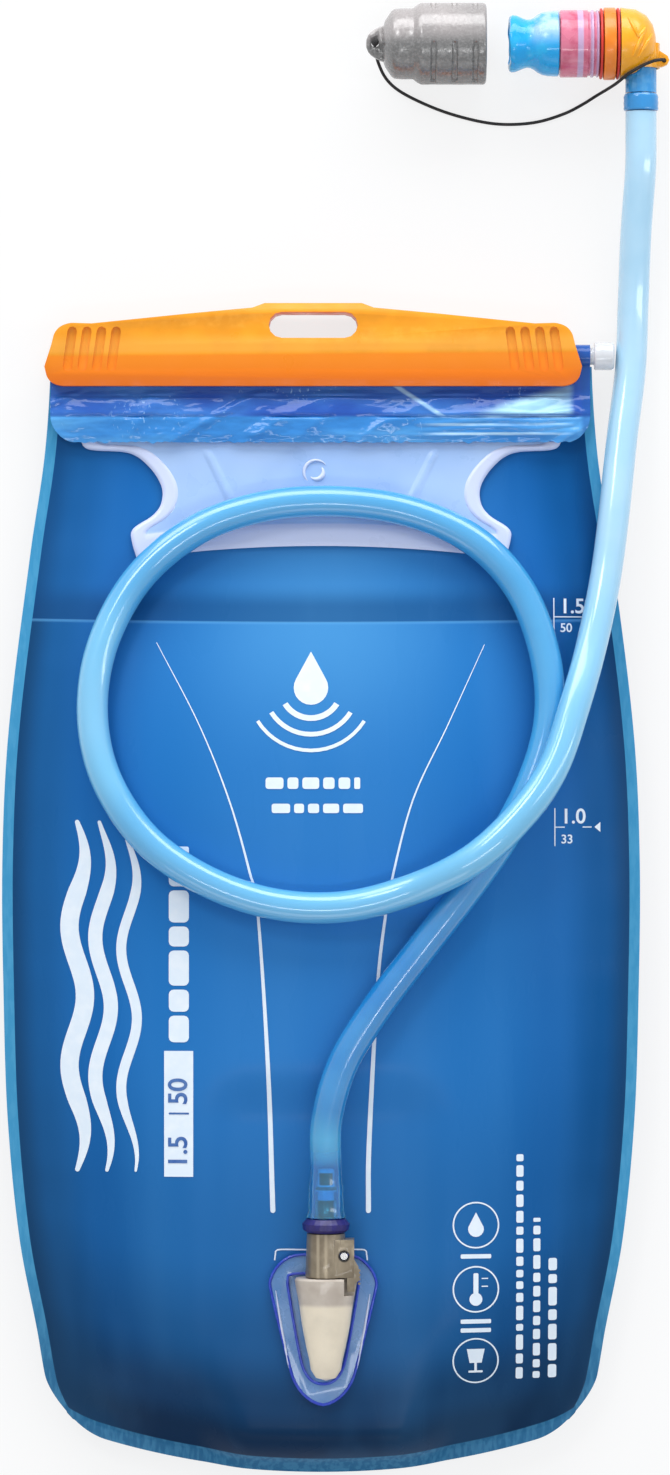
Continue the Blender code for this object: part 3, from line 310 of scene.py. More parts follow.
class Look:
    """A node material round one Principled shader, with short calls to build its colour and bump."""

    def __init__(self, name, roughness=0.3, metallic=0.0, ior=1.5, coat=0.0, clear=0.0, gloss=0.5):
        self.made = bpy.data.materials.new(name)
        self.made.use_nodes = True
        self.tree = self.made.node_tree
        self.shader = self.tree.nodes["Principled BSDF"]
        self.set("Roughness", roughness)
        self.set("Metallic", metallic)
        self.set("IOR", ior)
        self.set("Coat Weight", coat)
        self.set("Transmission Weight", clear)
        self.set("Specular IOR Level", gloss)
        self.coords = self.node("ShaderNodeTexCoord").outputs["Object"]
        self.height = None

    def set(self, socket, value):
        self.shader.inputs[socket].default_value = value

    def node(self, kind, **settings):
        made = self.tree.nodes.new(kind)
        for key, value in settings.items():
            setattr(made, key, value)
        return made

    def link(self, source, target):
        self.tree.links.new(source, target)

    def feed(self, target, value):
        if isinstance(value, bpy.types.NodeSocket):
            self.link(value, target)
        else:
            target.default_value = value

    def maths(self, way, a, b=0.0, c=0.0, limit=False):
        made = self.node("ShaderNodeMath", operation=way, use_clamp=limit)
        for socket, value in zip(made.inputs, (a, b, c)):
            self.feed(socket, value)
        return made.outputs[0]

    def noise(self, scale, detail=3.0, stretch=(1, 1, 1), rough=0.5):
        spread = self.node("ShaderNodeMapping")
        spread.inputs["Scale"].default_value = stretch
        self.link(self.coords, spread.inputs["Vector"])
        made = self.node("ShaderNodeTexNoise")
        made.inputs["Scale"].default_value = scale
        made.inputs["Detail"].default_value = detail
        made.inputs["Roughness"].default_value = rough
        self.link(spread.outputs[0], made.inputs["Vector"])
        return made.outputs["Fac"]

    def axis(self, letter):
        split = self.node("ShaderNodeSeparateXYZ")
        self.link(self.coords, split.inputs[0])
        return split.outputs[letter]

    def upward(self):
        """1 on faces that look straight up, 0 on upright walls."""
        split = self.node("ShaderNodeSeparateXYZ")
        self.link(self.node("ShaderNodeNewGeometry").outputs["Normal"], split.inputs[0])
        return split.outputs["Z"]

    def ramp(self, value, stops):
        """Colours at places along a value."""
        made = self.node("ShaderNodeValToRGB")
        made.color_ramp.interpolation = "EASE"
        points = made.color_ramp.elements
        while len(points) < len(stops):
            points.new(0.5)
        for point, (at, colour) in zip(points, stops):
            point.position = at
            point.color = colour
        self.feed(made.inputs[0], value)
        return made.outputs[0]

    def attribute(self, name):
        return self.node("ShaderNodeAttribute", attribute_name=name).outputs["Fac"]

    def remap(self, value, low, high, new_low=0.0, new_high=1.0, smooth=True):
        made = self.node("ShaderNodeMapRange")
        made.interpolation_type = "SMOOTHSTEP" if smooth else "LINEAR"
        for socket, number in zip(made.inputs[:5], (value, low, high, new_low, new_high)):
            self.feed(socket, number)
        return made.outputs[0]

    def mix(self, share, first, second, way="MIX"):
        made = self.node("ShaderNodeMix", data_type="RGBA", blend_type=way)
        self.feed(made.inputs[0], share)
        self.feed(made.inputs[6], first)
        self.feed(made.inputs[7], second)
        return made.outputs[2]

    def colour(self, value):
        self.feed(self.shader.inputs["Base Color"], value)

    def rough(self, low, high, scale, stretch=(1, 1, 1)):
        self.link(self.remap(self.noise(scale, 4, stretch), 0.3, 0.7, low, high),
                  self.shader.inputs["Roughness"])

    def bump(self, height, strength, depth):
        made = self.node("ShaderNodeBump")
        made.inputs["Strength"].default_value = strength
        made.inputs["Distance"].default_value = depth
        self.link(height, made.inputs["Height"])
        if self.height is not None:
            self.link(self.height, made.inputs["Normal"])
        self.height = made.outputs[0]
        self.link(self.height, self.shader.inputs["Normal"])

    def worn(self, base, lighter, amount):
        """Paler along the piece's outer edges, unevenly, as handled plastic is."""
        edge = self.remap(self.node("ShaderNodeNewGeometry").outputs["Pointiness"], 0.52, 0.60)
        patchy = self.remap(self.noise(420, 4), 0.40, 0.70)
        return self.mix(self.maths("MULTIPLY", self.maths("MULTIPLY", edge, patchy), amount),
                        base, lighter)


def moulded(name, colour, paler, roughness, coat=0.0, metallic=0.0, clear=0.0, grain=900, ior=1.5,
            deep=0.00006):
    """Moulded plastic: a faint mottle, uneven gloss, fine surface grain and handled edges."""
    look = Look(name, roughness, metallic, ior, coat, clear)
    mottled = look.mix(look.remap(look.noise(90, 4), 0.35, 0.68), colour,
                       tuple(c * 0.86 for c in colour[:3]) + (1.0,))
    look.colour(look.worn(mottled, paler, 0.35))
    look.rough(roughness * 0.8, min(1.0, roughness * 1.35), 160)
    look.bump(look.noise(grain, 2), 0.35, deep)
    return look


def film_look():
    """Blue film: pale weld border, painted shade that deepens the blue toward its edges and to navy at the
    foot, and a water line.
    """
    look = Look("blue_film", 0.30, 0.0, 1.46, gloss=0.07)
    side, foot, rim = look.attribute("side"), look.attribute("foot"), look.attribute("rim")
    up = look.axis("Y")
    across = look.axis("X")
    # Painted shade: deeper blue toward the side welds
    body = look.ramp(look.maths("DIVIDE", side, 0.090), [
        (0.03, linear(8, 58, 104)), (0.12, linear(14, 84, 146)), (0.26, linear(24, 100, 172)),
        (0.48, linear(36, 114, 186)), (0.80, linear(47, 122, 193))])
    # Painted highlight: paler blue in the upper middle
    shine = look.maths("MULTIPLY", look.remap(up, 0.030, 0.074),
                       look.remap(look.maths("ABSOLUTE", across), 0.055, 0.0))
    body = look.mix(look.maths("MULTIPLY", shine, 0.55), body, linear(84, 160, 218))
    # Painted shade: navy toward the foot
    depth = look.ramp(look.maths("DIVIDE", foot, 0.120), [
        (0.08, (0.97, 0.97, 0.97, 1)), (0.16, (0.84, 0.84, 0.84, 1)), (0.31, (0.52, 0.52, 0.52, 1)),
        (0.52, (0.26, 0.26, 0.26, 1)), (1.0, (0.0, 0.0, 0.0, 1))])
    body = look.mix(depth, body, linear(12, 40, 70))
    # The water's edge: a thin painted highlight along it, with painted shade on the film just above it
    wave = look.maths("MULTIPLY", look.maths("MULTIPLY", across, across), 0.16)
    edge_y = look.maths("SUBTRACT", up, look.maths("ADD", wave, 0.0742))
    above = look.maths("MULTIPLY", look.remap(edge_y, -0.0002, 0.0003),
                       look.remap(edge_y, 0.0115, 0.0040))
    body = look.mix(look.maths("MULTIPLY", above, 0.62), body, linear(8, 58, 112))
    # Painted shade, fainter, over the neck above the water line
    top = look.remap(up, 0.076, 0.088)
    body = look.mix(look.maths("MULTIPLY", top, 0.25), body, linear(20, 92, 164))
    line = look.maths("MULTIPLY", look.remap(edge_y, -0.0008, -0.0001),
                      look.remap(edge_y, 0.0004, 0.0001))
    body = look.mix(look.maths("MULTIPLY", line, 0.45), body, linear(96, 168, 224))
    streak = look.remap(look.noise(34, 3, (1.0, 0.10, 1.0)), 0.42, 0.66)
    body = look.mix(look.maths("MULTIPLY", streak, 0.07), body, linear(96, 164, 222))
    weld = look.mix(look.remap(foot, 0.060, 0.004), linear(66, 148, 194), linear(42, 102, 144))
    fine_marks = look.remap(look.noise(700, 2, (1.0, 0.25, 1.0)), 0.40, 0.62)
    weld = look.mix(look.maths("MULTIPLY", fine_marks, 0.16), weld, linear(110, 184, 222))
    look.colour(look.mix(look.remap(rim, 0.97, 1.03), weld, body))
    look.rough(0.24, 0.38, 60, (1, 0.3, 1))
    look.bump(look.noise(26, 2, (1.0, 0.35, 1.0)), 0.12, 0.0008)
    look.bump(look.noise(620, 3), 0.10, 0.00008)
    return look.made


def back_look():
    look = Look("blue_film_back", 0.26, 0.0, 1.46, gloss=0.25)
    rim, foot = look.attribute("rim"), look.attribute("foot")
    body = look.mix(look.remap(look.noise(18, 4), 0.35, 0.65), linear(22, 84, 156), linear(30, 100, 176))
    weld = look.mix(look.remap(foot, 0.050, 0.004), linear(74, 156, 206), linear(52, 118, 166))
    look.colour(look.mix(look.remap(rim, 0.96, 1.04), weld, body))
    look.rough(0.12, 0.28, 70)
    look.bump(look.noise(40, 3), 0.20, 0.0008)
    return look.made


def mouth_look():
    """Crinkled film: two depths of blue, with painted glints and, at the right, painted reflections: pale
    lines, a pale patch and a pale streak.
    """
    look = Look("crinkled_film", 0.10, 0.0, 1.46, 0.15, gloss=0.30)
    up, across = look.axis("Y"), look.axis("X")
    cloudy = look.noise(46, 4, (0.6, 1.2, 1.0))
    body = look.mix(look.remap(cloudy, 0.36, 0.66), linear(34, 82, 174), linear(58, 122, 202))
    lower = look.mix(look.remap(look.noise(70, 3, (0.3, 1.6, 1.0)), 0.38, 0.64),
                     linear(50, 130, 204), linear(84, 160, 222))
    body = look.mix(look.remap(up, 0.1326, 0.1316), body, lower)
    # Painted glints: pale specks in patches
    speck = look.remap(look.noise(1300, 3, (1.0, 0.5, 1.0)), 0.60, 0.72)
    patch = look.remap(look.noise(70, 2), 0.52, 0.66)
    body = look.mix(look.maths("MULTIPLY", look.maths("MULTIPLY", speck, patch), 0.5), body,
                    linear(170, 214, 250))
    # Painted reflections at the right: three pale lines along the welds
    uneven = look.remap(look.noise(160, 3, (0.35, 1.5, 1.0)), 0.30, 0.56)
    painted_glare_span = look.maths("MULTIPLY", look.remap(across, 0.026, 0.036), look.remap(across, 0.0715, 0.066))
    painted_glare = look.maths("MULTIPLY", uneven, painted_glare_span)
    for at, strength in ((0.1320, 0.75), (0.1298, 0.60), (0.1272, 0.80)):
        off = look.maths("ABSOLUTE", look.maths("SUBTRACT", up, at))
        line = look.maths("MULTIPLY", look.remap(off, 0.00055, 0.00015), painted_glare)
        body = look.mix(look.maths("MULTIPLY", line, strength), body, linear(196, 232, 250))
    # Painted reflection: a pale patch at the right end
    slope = look.maths("ADD", up, look.maths("MULTIPLY", across, -0.30))
    corner = look.maths("MULTIPLY", look.remap(slope, 0.1215, 0.1185), look.remap(up, 0.1322, 0.1332))
    corner = look.maths("MULTIPLY", corner, look.remap(across, 0.0715, 0.0690))
    corner = look.maths("MULTIPLY", corner, look.remap(across, 0.038, 0.056))
    body = look.mix(look.maths("MULTIPLY", corner, look.remap(cloudy, 0.20, 0.50)), body,
                    linear(164, 216, 240))
    # Painted reflection: a pale diagonal streak
    lean = look.maths("ADD", across, look.maths("MULTIPLY", up, 1.49))
    streak = look.remap(look.maths("ABSOLUTE", look.maths("SUBTRACT", lean, 0.2308)), 0.0016, 0.0004)
    streak = look.maths("MULTIPLY", streak, look.remap(up, 0.1316, 0.1328))
    body = look.mix(look.maths("MULTIPLY", streak, 0.65), body, linear(172, 216, 246))
    body = look.mix(look.maths("MULTIPLY", look.remap(across, 0.0722, 0.0740), 0.6), body,
                    linear(24, 84, 160))
    look.colour(body)
    look.rough(0.05, 0.16, 200)
    look.bump(look.noise(150, 4, (0.5, 1.2, 1.0), 0.6), 0.30, 0.0005)
    look.bump(look.noise(1200, 2), 0.20, 0.0001)
    return look.made


def flap_look():
    look = Look("lavender_flap", 0.34, 0.0, 1.45, 0.15)
    rim = look.attribute("rim")
    body = look.mix(look.remap(look.noise(30, 3), 0.35, 0.65), linear(150, 184, 232),
                    linear(166, 196, 238))
    look.colour(look.mix(look.remap(rim, 0.88, 1.0), linear(204, 214, 244), body))
    look.rough(0.26, 0.44, 120)
    look.bump(look.noise(500, 3), 0.20, 0.0001)
    return look.made


def hose_look():
    """Pale translucent hose, deeper blue over the film and clearer over the barb."""
    look = Look("hose_blue", 0.12, 0.0, 1.44, 0.7, gloss=0.9)
    over, clear = look.attribute("over"), look.attribute("clear")
    body = look.ramp(over, [(0.0, linear(184, 228, 254)), (0.30, linear(120, 202, 246)),
                            (0.55, linear(66, 170, 232)), (0.85, linear(30, 140, 216)),
                            (1.0, linear(104, 216, 255))])
    cloudy = look.remap(look.noise(60, 3), 0.35, 0.65)
    look.colour(look.mix(look.maths("MULTIPLY", cloudy, 0.14), body, linear(110, 200, 246)))
    look.link(clear, look.shader.inputs["Transmission Weight"])
    look.rough(0.14, 0.26, 80)
    look.bump(look.noise(300, 3), 0.12, 0.0001)
    return look.made


def ink_look(name, colour):
    look = Look(name, 0.42, 0.0, 1.5)
    patchy = look.remap(look.noise(260, 4), 0.30, 0.62)
    look.colour(look.mix(look.maths("MULTIPLY", patchy, 0.14), colour, linear(170, 206, 238)))
    look.rough(0.34, 0.52, 400)
    look.bump(look.noise(1500, 2), 0.25, 0.00004)
    return look.made


def tip_look():
    look = Look("blue_silicone", 0.20, 0.0, 1.43, 0.35, 0.08, gloss=0.4)
    up = look.axis("Y")
    cloud = look.noise(200, 4)
    front = look.remap(look.axis("X"), 0.0572, 0.0604)
    pale = look.maths("MULTIPLY", look.remap(up, 0.2340, 0.2400), look.remap(cloud, 0.28, 0.50))
    pale = look.maths("MULTIPLY", pale, front)
    body = look.mix(look.remap(cloud, 0.42, 0.62), linear(4, 170, 240), linear(36, 184, 244))
    look.colour(look.mix(pale, body, linear(164, 204, 242)))
    look.rough(0.12, 0.30, 300)
    look.bump(look.noise(380, 4), 0.30, 0.0003)
    return look.made


def core_look():
    look = Look("pink_core", 0.22, 0.0, 1.46, 0.35, 0.10, gloss=0.4)
    along = look.axis("X")
    body = look.mix(look.remap(look.noise(260, 4), 0.35, 0.62), linear(200, 84, 118),
                    linear(222, 124, 152))
    for start, end in ((0.0717, 0.0731), (0.0753, 0.0760), (0.0770, 0.0776)):
        band = look.maths("MULTIPLY", look.remap(along, start - 0.0003, start + 0.0001),
                          look.remap(along, end + 0.0003, end - 0.0001))
        body = look.mix(look.maths("MULTIPLY", band, 0.75), body, linear(196, 186, 226))
    look.colour(body)
    look.rough(0.14, 0.32, 240)
    look.bump(look.noise(420, 3), 0.25, 0.0002)
    return look.made


def cap_look():
    look = Look("grey_rubber", 0.42, gloss=1.0)
    speck = look.remap(look.noise(1500, 3), 0.46, 0.66)
    body = look.mix(look.remap(look.noise(60, 4), 0.35, 0.65), linear(142, 138, 138),
                    linear(156, 150, 150))
    # Painted shade: darker grey on the cap's lower side, below its axis
    body = look.mix(look.remap(look.axis("Y"), 0.2390, 0.2345), body, linear(104, 104, 104))
    look.colour(look.mix(look.maths("MULTIPLY", speck, 0.22), body, linear(190, 188, 188)))
    look.rough(0.10, 0.36, 900)
    look.bump(look.noise(1100, 3, (1, 1, 1), 0.7), 0.30, 0.00014)
    return look.made


def socket_look():
    look = moulded("cream_plastic", linear(236, 224, 202), linear(248, 242, 228), 0.40, 0.2)
    up = look.remap(look.axis("Y"), -0.1158, -0.1142)
    split = look.remap(look.noise(120, 3), 0.35, 0.65)
    grey = look.mix(split, linear(176, 164, 152), linear(196, 186, 174))
    base = look.shader.inputs["Base Color"].links[0].from_socket
    look.colour(look.mix(up, base, grey))
    return look.made


PIN_PLACE = tuple((a + b) / 2 for a, b in zip(*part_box("lever_pin")))


def taupe_look():
    look = Look("taupe_plastic", 0.34, 0.35, 1.5, 0.25)
    body = look.mix(look.remap(look.noise(140, 4, (1.0, 0.3, 1.0)), 0.35, 0.65),
                    linear(118, 106, 88), linear(140, 128, 108))
    across, up = look.axis("X"), look.axis("Y")
    pin_off = look.maths("SQRT", look.maths("ADD", look.maths("POWER", look.maths(
        "SUBTRACT", across, PIN_PLACE[0]), 2), look.maths("POWER", look.maths(
            "SUBTRACT", up, PIN_PLACE[1]), 2)))
    body = look.worn(body, linear(196, 184, 160), 0.35)
    body = look.mix(look.remap(pin_off, 0.0019, 0.0014), body, linear(30, 26, 22))
    # Painted highlights: two pale upright lines down the plug
    for at, strength in ((-0.0008, 0.55), (0.0014, 0.35)):
        off = look.maths("ABSOLUTE", look.maths("SUBTRACT", across, at))
        body = look.mix(look.maths("MULTIPLY", look.remap(off, 0.0007, 0.0001), strength), body,
                        linear(196, 182, 158))
    look.colour(body)
    look.rough(0.26, 0.44, 260, (1, 0.2, 1))
    turned = look.maths("POWER", look.maths("MULTIPLY", across, 100), 2)
    look.bump(look.maths("MULTIPLY", turned, -1.0), 0.6, 0.0020)
    look.bump(look.noise(900, 3, (1.0, 0.25, 1.0)), 0.30, 0.00008)
    return look.made


def cord_look():
    look = Look("black_cord", 0.80)
    wave = look.node("ShaderNodeTexWave", wave_type="BANDS", bands_direction="DIAGONAL")
    wave.inputs["Scale"].default_value = 900
    look.link(look.coords, wave.inputs["Vector"])
    look.colour(look.mix(wave.outputs["Fac"], linear(14, 14, 15), linear(44, 44, 46)))
    look.rough(0.70, 0.90, 500)
    look.bump(wave.outputs["Fac"], 0.6, 0.00012)
    return look.made


def clip_look():
    look = moulded("clip_orange", linear(248, 160, 34), linear(254, 178, 66), 0.34, 0.0,
                   deep=0.00003)
    look.set("Specular IOR Level", 0.30)
    up = look.maths("SUBTRACT", look.axis("Y"), look.maths("MULTIPLY", look.axis("X"), 0.008))
    # Painted shade: the lower facet below the crease is darker orange, deeper still toward its foot
    low = look.remap(up, 0.1502, 0.1490)
    base = look.shader.inputs["Base Color"].links[0].from_socket
    body = look.mix(low, base, look.mix(look.remap(up, 0.1490, 0.1412), linear(243, 138, 28),
                                        linear(234, 114, 10)))
    # Painted highlight: a pale band on the upper facet just above the crease
    band = look.maths("MULTIPLY", look.remap(up, 0.1494, 0.1510), look.remap(up, 0.1560, 0.1525))
    body = look.mix(look.maths("MULTIPLY", band, 0.35), body, linear(254, 186, 88))
    # Painted shade: upright walls, such as the grooves' sides, darker orange
    wall = look.remap(look.upward(), 0.90, 0.55)
    body = look.mix(look.maths("MULTIPLY", wall, 0.55), body, linear(226, 92, 8))
    look.colour(body)
    return look.made


def port_look():
    """Clear blue moulding: pale on its flats, with painted shade making it deep blue down its walls."""
    look = Look("port_blue", 0.10, 0.0, 1.47, 0.4, 0.15, gloss=0.4)
    flat = look.remap(look.upward(), 0.55, 0.97)
    pale = look.mix(look.remap(look.noise(120, 3), 0.35, 0.65), linear(84, 136, 196),
                    linear(108, 152, 206))
    look.colour(look.mix(flat, linear(30, 62, 190), pale))
    look.rough(0.20, 0.32, 160)
    look.bump(look.noise(500, 3), 0.15, 0.00006)
    return look.made


def barb_look():
    """Pale blue nozzle with dark bands and a dark tip, seen through the hose."""
    look = Look("barb_plastic", 0.25, 0.0, 1.46, 0.1, gloss=0.3)
    up = look.axis("Y")
    off = look.maths("ABSOLUTE", look.maths("SUBTRACT", look.axis("X"), port_x))
    body = look.mix(look.remap(look.noise(300, 3), 0.3, 0.7), linear(48, 176, 240),
                    linear(84, 200, 250))
    for low, high, wide, strength in ((-0.0816, -0.0786, 0.0018, 0.95), (-0.0829, -0.0824, 0.0040, 0.8),
                                      (-0.0906, -0.0862, 0.0020, 0.9), (-0.0906, -0.0862, 0.0034, 0.45)):
        rows = look.maths("MULTIPLY", look.remap(up, low - 0.0004, low), look.remap(up, high + 0.0004, high))
        band = look.maths("MULTIPLY", rows, look.remap(off, wide + 0.0003, wide - 0.0003))
        body = look.mix(look.maths("MULTIPLY", band, strength), body, linear(6, 4, 24))
    look.colour(body)
    look.rough(0.20, 0.34, 300)
    look.bump(look.noise(700, 3), 0.15, 0.00005)
    return look.made


LOOKS = {
    "blue_film": film_look(),
    "blue_film_back": back_look(),
    "crinkled_film": mouth_look(),
    "lavender_flap": flap_look(),
    "hose_blue": hose_look(),
    "white_ink": ink_look("white_ink", linear(232, 242, 252)),
    "blue_ink": ink_look("blue_ink", linear(24, 84, 160)),
    "blue_silicone": tip_look(),
    "pink_core": core_look(),
    "grey_rubber": cap_look(),
    "cream_plastic": socket_look(),
    "taupe_plastic": taupe_look(),
    "black_cord": cord_look(),
    "clip_orange": clip_look(),
    "pale_plastic": moulded("pale_plastic", linear(214, 224, 248), linear(240, 244, 255), 0.30).made,
    "orange_plastic": moulded("orange_plastic", linear(252, 172, 14), linear(255, 206, 110),
                              0.28, 0.20).made,
    "ring_orange": moulded("ring_orange", linear(246, 132, 16), linear(255, 190, 90), 0.28, 0.20).made,
    "clear_plastic": moulded("clear_plastic", linear(240, 244, 250), linear(255, 255, 255),
                             0.10, 0.4, clear=0.40, ior=1.47, deep=0.0002).made,
    "port_blue": port_look(),
    "deep_blue": moulded("deep_blue", linear(34, 62, 188), linear(90, 130, 220), 0.16, 0.3).made,
    "barb_plastic": barb_look(),
    "indigo_plastic": moulded("indigo_plastic", linear(26, 18, 96), linear(48, 44, 140), 0.40,
                              0.0).made,
    "valve_blue": moulded("valve_blue", linear(46, 156, 230), linear(130, 206, 250), 0.18, 0.4,
                          clear=0.15, deep=0.0002).made,
    "seal_rubber": moulded("seal_rubber", linear(214, 44, 26), linear(244, 120, 90), 0.42).made,
    "steel": moulded("steel", linear(196, 196, 198), linear(236, 236, 238), 0.24, 0.0, 1.0).made,
}


# Building meshes

def finish_mesh(name, shape, look, angle=40.0):
    """An object from a bmesh, smooth but for its sharp edges, with its look."""
    bmesh.ops.recalc_face_normals(shape, faces=shape.faces)
    data = bpy.data.meshes.new(name)
    shape.to_mesh(data)
    shape.free()
    data.shade_smooth()
    data.set_sharp_from_angle(angle=math.radians(angle))
    thing = bpy.data.objects.new(name, data)
    scene.collection.objects.link(thing)
    data.materials.append(LOOKS[look])
    return thing


def bake_in(thing):
    """Turns an object's modifiers into its mesh."""
    bpy.context.view_layer.update()
    graph = bpy.context.evaluated_depsgraph_get()
    made = bpy.data.meshes.new_from_object(thing.evaluated_get(graph))
    thing.modifiers.clear()
    thing.data = made
    return thing


def bevelled(thing, width, segments=2, angle=28.0):
    step = thing.modifiers.new("rounded_edges", "BEVEL")
    step.width = width
    step.segments = segments
    step.limit_method = "ANGLE"
    step.angle_limit = math.radians(angle)
    step.use_clamp_overlap = True
    bake_in(thing)
    thing.data.shade_smooth()
    thing.data.set_sharp_from_angle(angle=math.radians(50))
    return thing


def refined(node, name, look, body, width=0.0003, segments=2, first_rounds=()):
    """A CAD node's own shape with merged corners and rounded edges, in its place."""
    shape = bmesh.new()
    shape.from_mesh(bpy.data.objects[node].data)
    shape.transform(bpy.data.objects[node].matrix_world)
    bmesh.ops.remove_doubles(shape, verts=shape.verts, dist=0.000004)
    bmesh.ops.dissolve_limit(shape, angle_limit=math.radians(1.0), verts=shape.verts,
                             edges=shape.edges)
    for chosen, size, count in first_rounds:
        bmesh.ops.bevel(shape, geom=[e for e in shape.edges if chosen(e)], offset=size,
                        segments=count, affect="EDGES", profile=0.5, clamp_overlap=True)
    thing = finish_mesh(name, shape, look)
    bevelled(thing, width, segments)
    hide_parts(node)
    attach(thing, body)
    return thing


AXES = {
    "X": (Vector((1, 0, 0)), Vector((0, 1, 0)), Vector((0, 0, 1))),
    "Y": (Vector((0, 1, 0)), Vector((0, 0, 1)), Vector((1, 0, 0))),
}


def lathe(name, profile, axis, centre, look, steps=72, closed=False, ripple=None):
    """A turned piece from (place along the axis, radius) points; ripple changes it round the turn."""
    along, first, second = AXES[axis]
    shape = bmesh.new()
    rings = []
    for place, radius in profile:
        ring = []
        for step in range(steps):
            angle = 2 * math.pi * step / steps
            shift, wide = ripple(place, radius, angle) if ripple else (0.0, 0.0)
            ring.append(shape.verts.new(
                Vector(centre) + along * (place + shift)
                + (first * math.cos(angle) + second * math.sin(angle)) * (radius + wide)))
        rings.append(ring)
    pairs = list(zip(rings, rings[1:]))
    if closed:
        pairs.append((rings[-1], rings[0]))
    for a, b in pairs:
        for k in range(steps):
            j = (k + 1) % steps
            shape.faces.new((a[k], a[j], b[j], b[k]))
    if not closed:
        shape.faces.new(rings[0])
        shape.faces.new(list(reversed(rings[-1])))
    return finish_mesh(name, shape, look)


def sweep(name, path, radii, look, steps=32, bore=None):
    """A tube along the path, its outer radius and bore given at each point."""
    shape = bmesh.new()
    tangents = [(path[min(i + 1, len(path) - 1)] - path[max(i - 1, 0)]).normalized()
                for i in range(len(path))]
    side = tangents[0].orthogonal().normalized()
    sides = []
    for tangent in tangents:
        side = (side - tangent * side.dot(tangent)).normalized()
        sides.append(side)

    def rings(sizes):
        out_rings = []
        for point, tangent, normal, radius in zip(path, tangents, sides, sizes):
            other = tangent.cross(normal)
            out_rings.append([
                shape.verts.new(point + radius * (normal * math.cos(2 * math.pi * k / steps)
                                                  + other * math.sin(2 * math.pi * k / steps)))
                for k in range(steps)])
        for a, b in zip(out_rings, out_rings[1:]):
            for k in range(steps):
                j = (k + 1) % steps
                shape.faces.new((a[k], a[j], b[j], b[k]))
        return out_rings

    outer = rings(radii)
    if bore:
        inner = rings(bore)
        for end in (0, -1):
            for k in range(steps):
                j = (k + 1) % steps
                shape.faces.new((outer[end][k], outer[end][j], inner[end][j], inner[end][k]))
    else:
        shape.faces.new(outer[0])
        shape.faces.new(outer[-1])
    return finish_mesh(name, shape, look)


def put(thing, name, values):
    """Stores one number for each corner of a mesh, for its material to read."""
    made = thing.data.attributes.new(name, "FLOAT", "POINT")
    made.data.foreach_set("value", values)


# The cords: the drink hose and the cap's tether

hose_start = [(port_x, barb_foot_y, port_z), (port_x, between(barb_foot_y, barb_end_y, 0.5), port_z)]
hose_path = spline(hose_start + HOSE_ROUTE, 0.0020)
HOSE_SHAPE = [
    (0.0, 0.00560), (0.0010, 0.00515), (0.0022, 0.00495), (0.0040, 0.00500), (0.0060, 0.00485),
    (0.0078, 0.00497), (0.0092, 0.00470), (0.0134, hose_radius),
]
hose_radii = []
hose_bores = []
walked = 0.0
for i, point in enumerate(hose_path):
    if i:
        walked += (point - hose_path[i - 1]).length
    hose_radii.append(straight(HOSE_SHAPE, walked))
    hose_bores.append(hose_bore + 0.0001 * (walked < 0.0134))
hose_sides = 28
hose = sweep("hose_skin", hose_path, hose_radii, "hose_blue", hose_sides, hose_bores)
travelled = [0.0]
for a, b in zip(hose_path, hose_path[1:]):
    travelled.append(travelled[-1] + (b - a).length)
HOSE_TINT = [(0.0, 1.0), (0.016, 1.0), (0.030, 0.88), (0.085, 0.82), (0.130, 0.55), (0.420, 0.42),
             (0.520, 0.30), (0.600, 0.06), (0.640, 0.0)]
HOSE_CLEAR = [(0.0, 0.93), (0.014, 0.93), (0.022, 0.45), (0.036, 0.18), (0.600, 0.12)]
for note, stops in (("over", HOSE_TINT), ("clear", HOSE_CLEAR)):
    values = [straight(stops, at) for at in travelled for _ in range(hose_sides)]
    if note == "over":
        # Painted reflection: the loop's left stretch is made paler
        values = [value * (1 - 0.60 * ease((-0.052 - hose_path[i // hose_sides].x) / 0.016))
                  for i, value in enumerate(values)]
    put(hose, note, values + values)
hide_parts("hose", "hose_end")
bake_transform(hose)

tether_path = spline(TETHER_ROUTE, 0.0012)
tether = sweep("tether_cord", tether_path, [tether_radius] * len(tether_path), "black_cord",
               10)
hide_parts("cap_tether")
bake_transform(tether)


# The pouch

SIDE_INSETS = [
    (0.0, 0.0200), (0.071, 0.0126), (0.122, 0.0095), (0.199, 0.0047), (0.300, 0.0015),
    (0.400, 0.0004), (0.524, 0.0), (0.635, 0.0017), (0.789, 0.0078), (0.866, 0.0115),
    (0.929, 0.0131), (1.0, 0.0136),
]


def half_width(y):
    share = clamp((y - bag_bottom_y) / overall_length)
    return bag_width / 2 - through(SIDE_INSETS, share)


def bottom_y(x):
    return bag_bottom_y + bottom_arc_radius - math.sqrt(bottom_arc_radius ** 2 - x ** 2)


def seam_z(y):
    share = clamp((neck_y - y) / (neck_y - bag_bottom_y))
    return neck_z + seam_lift * math.sin(math.pi * share) ** 2


def swelled(x, y, from_side, from_bottom):
    """The middle of the front film, as the CAD has it."""
    seam = seam_z(y) + film_pitch / 2
    along = clamp((neck_y - y) / neck_run)
    swell = 0.5 - 0.5 * math.cos(math.pi * along)
    swell *= dome((from_side - weld_band) / side_run)
    swell *= dome((from_bottom - weld_band) / bottom_run)
    z = between(seam, bag_height - film / 2, swell)
    beside = max(abs(x - port_x) - shelf_half_width, 0.0)
    beyond = max(abs(y - port_y) - shelf_half_length, 0.0)
    shelf = ease(1 - math.hypot(beside, beyond) / shelf_run)
    return between(z, port_rise - film / 2, shelf)


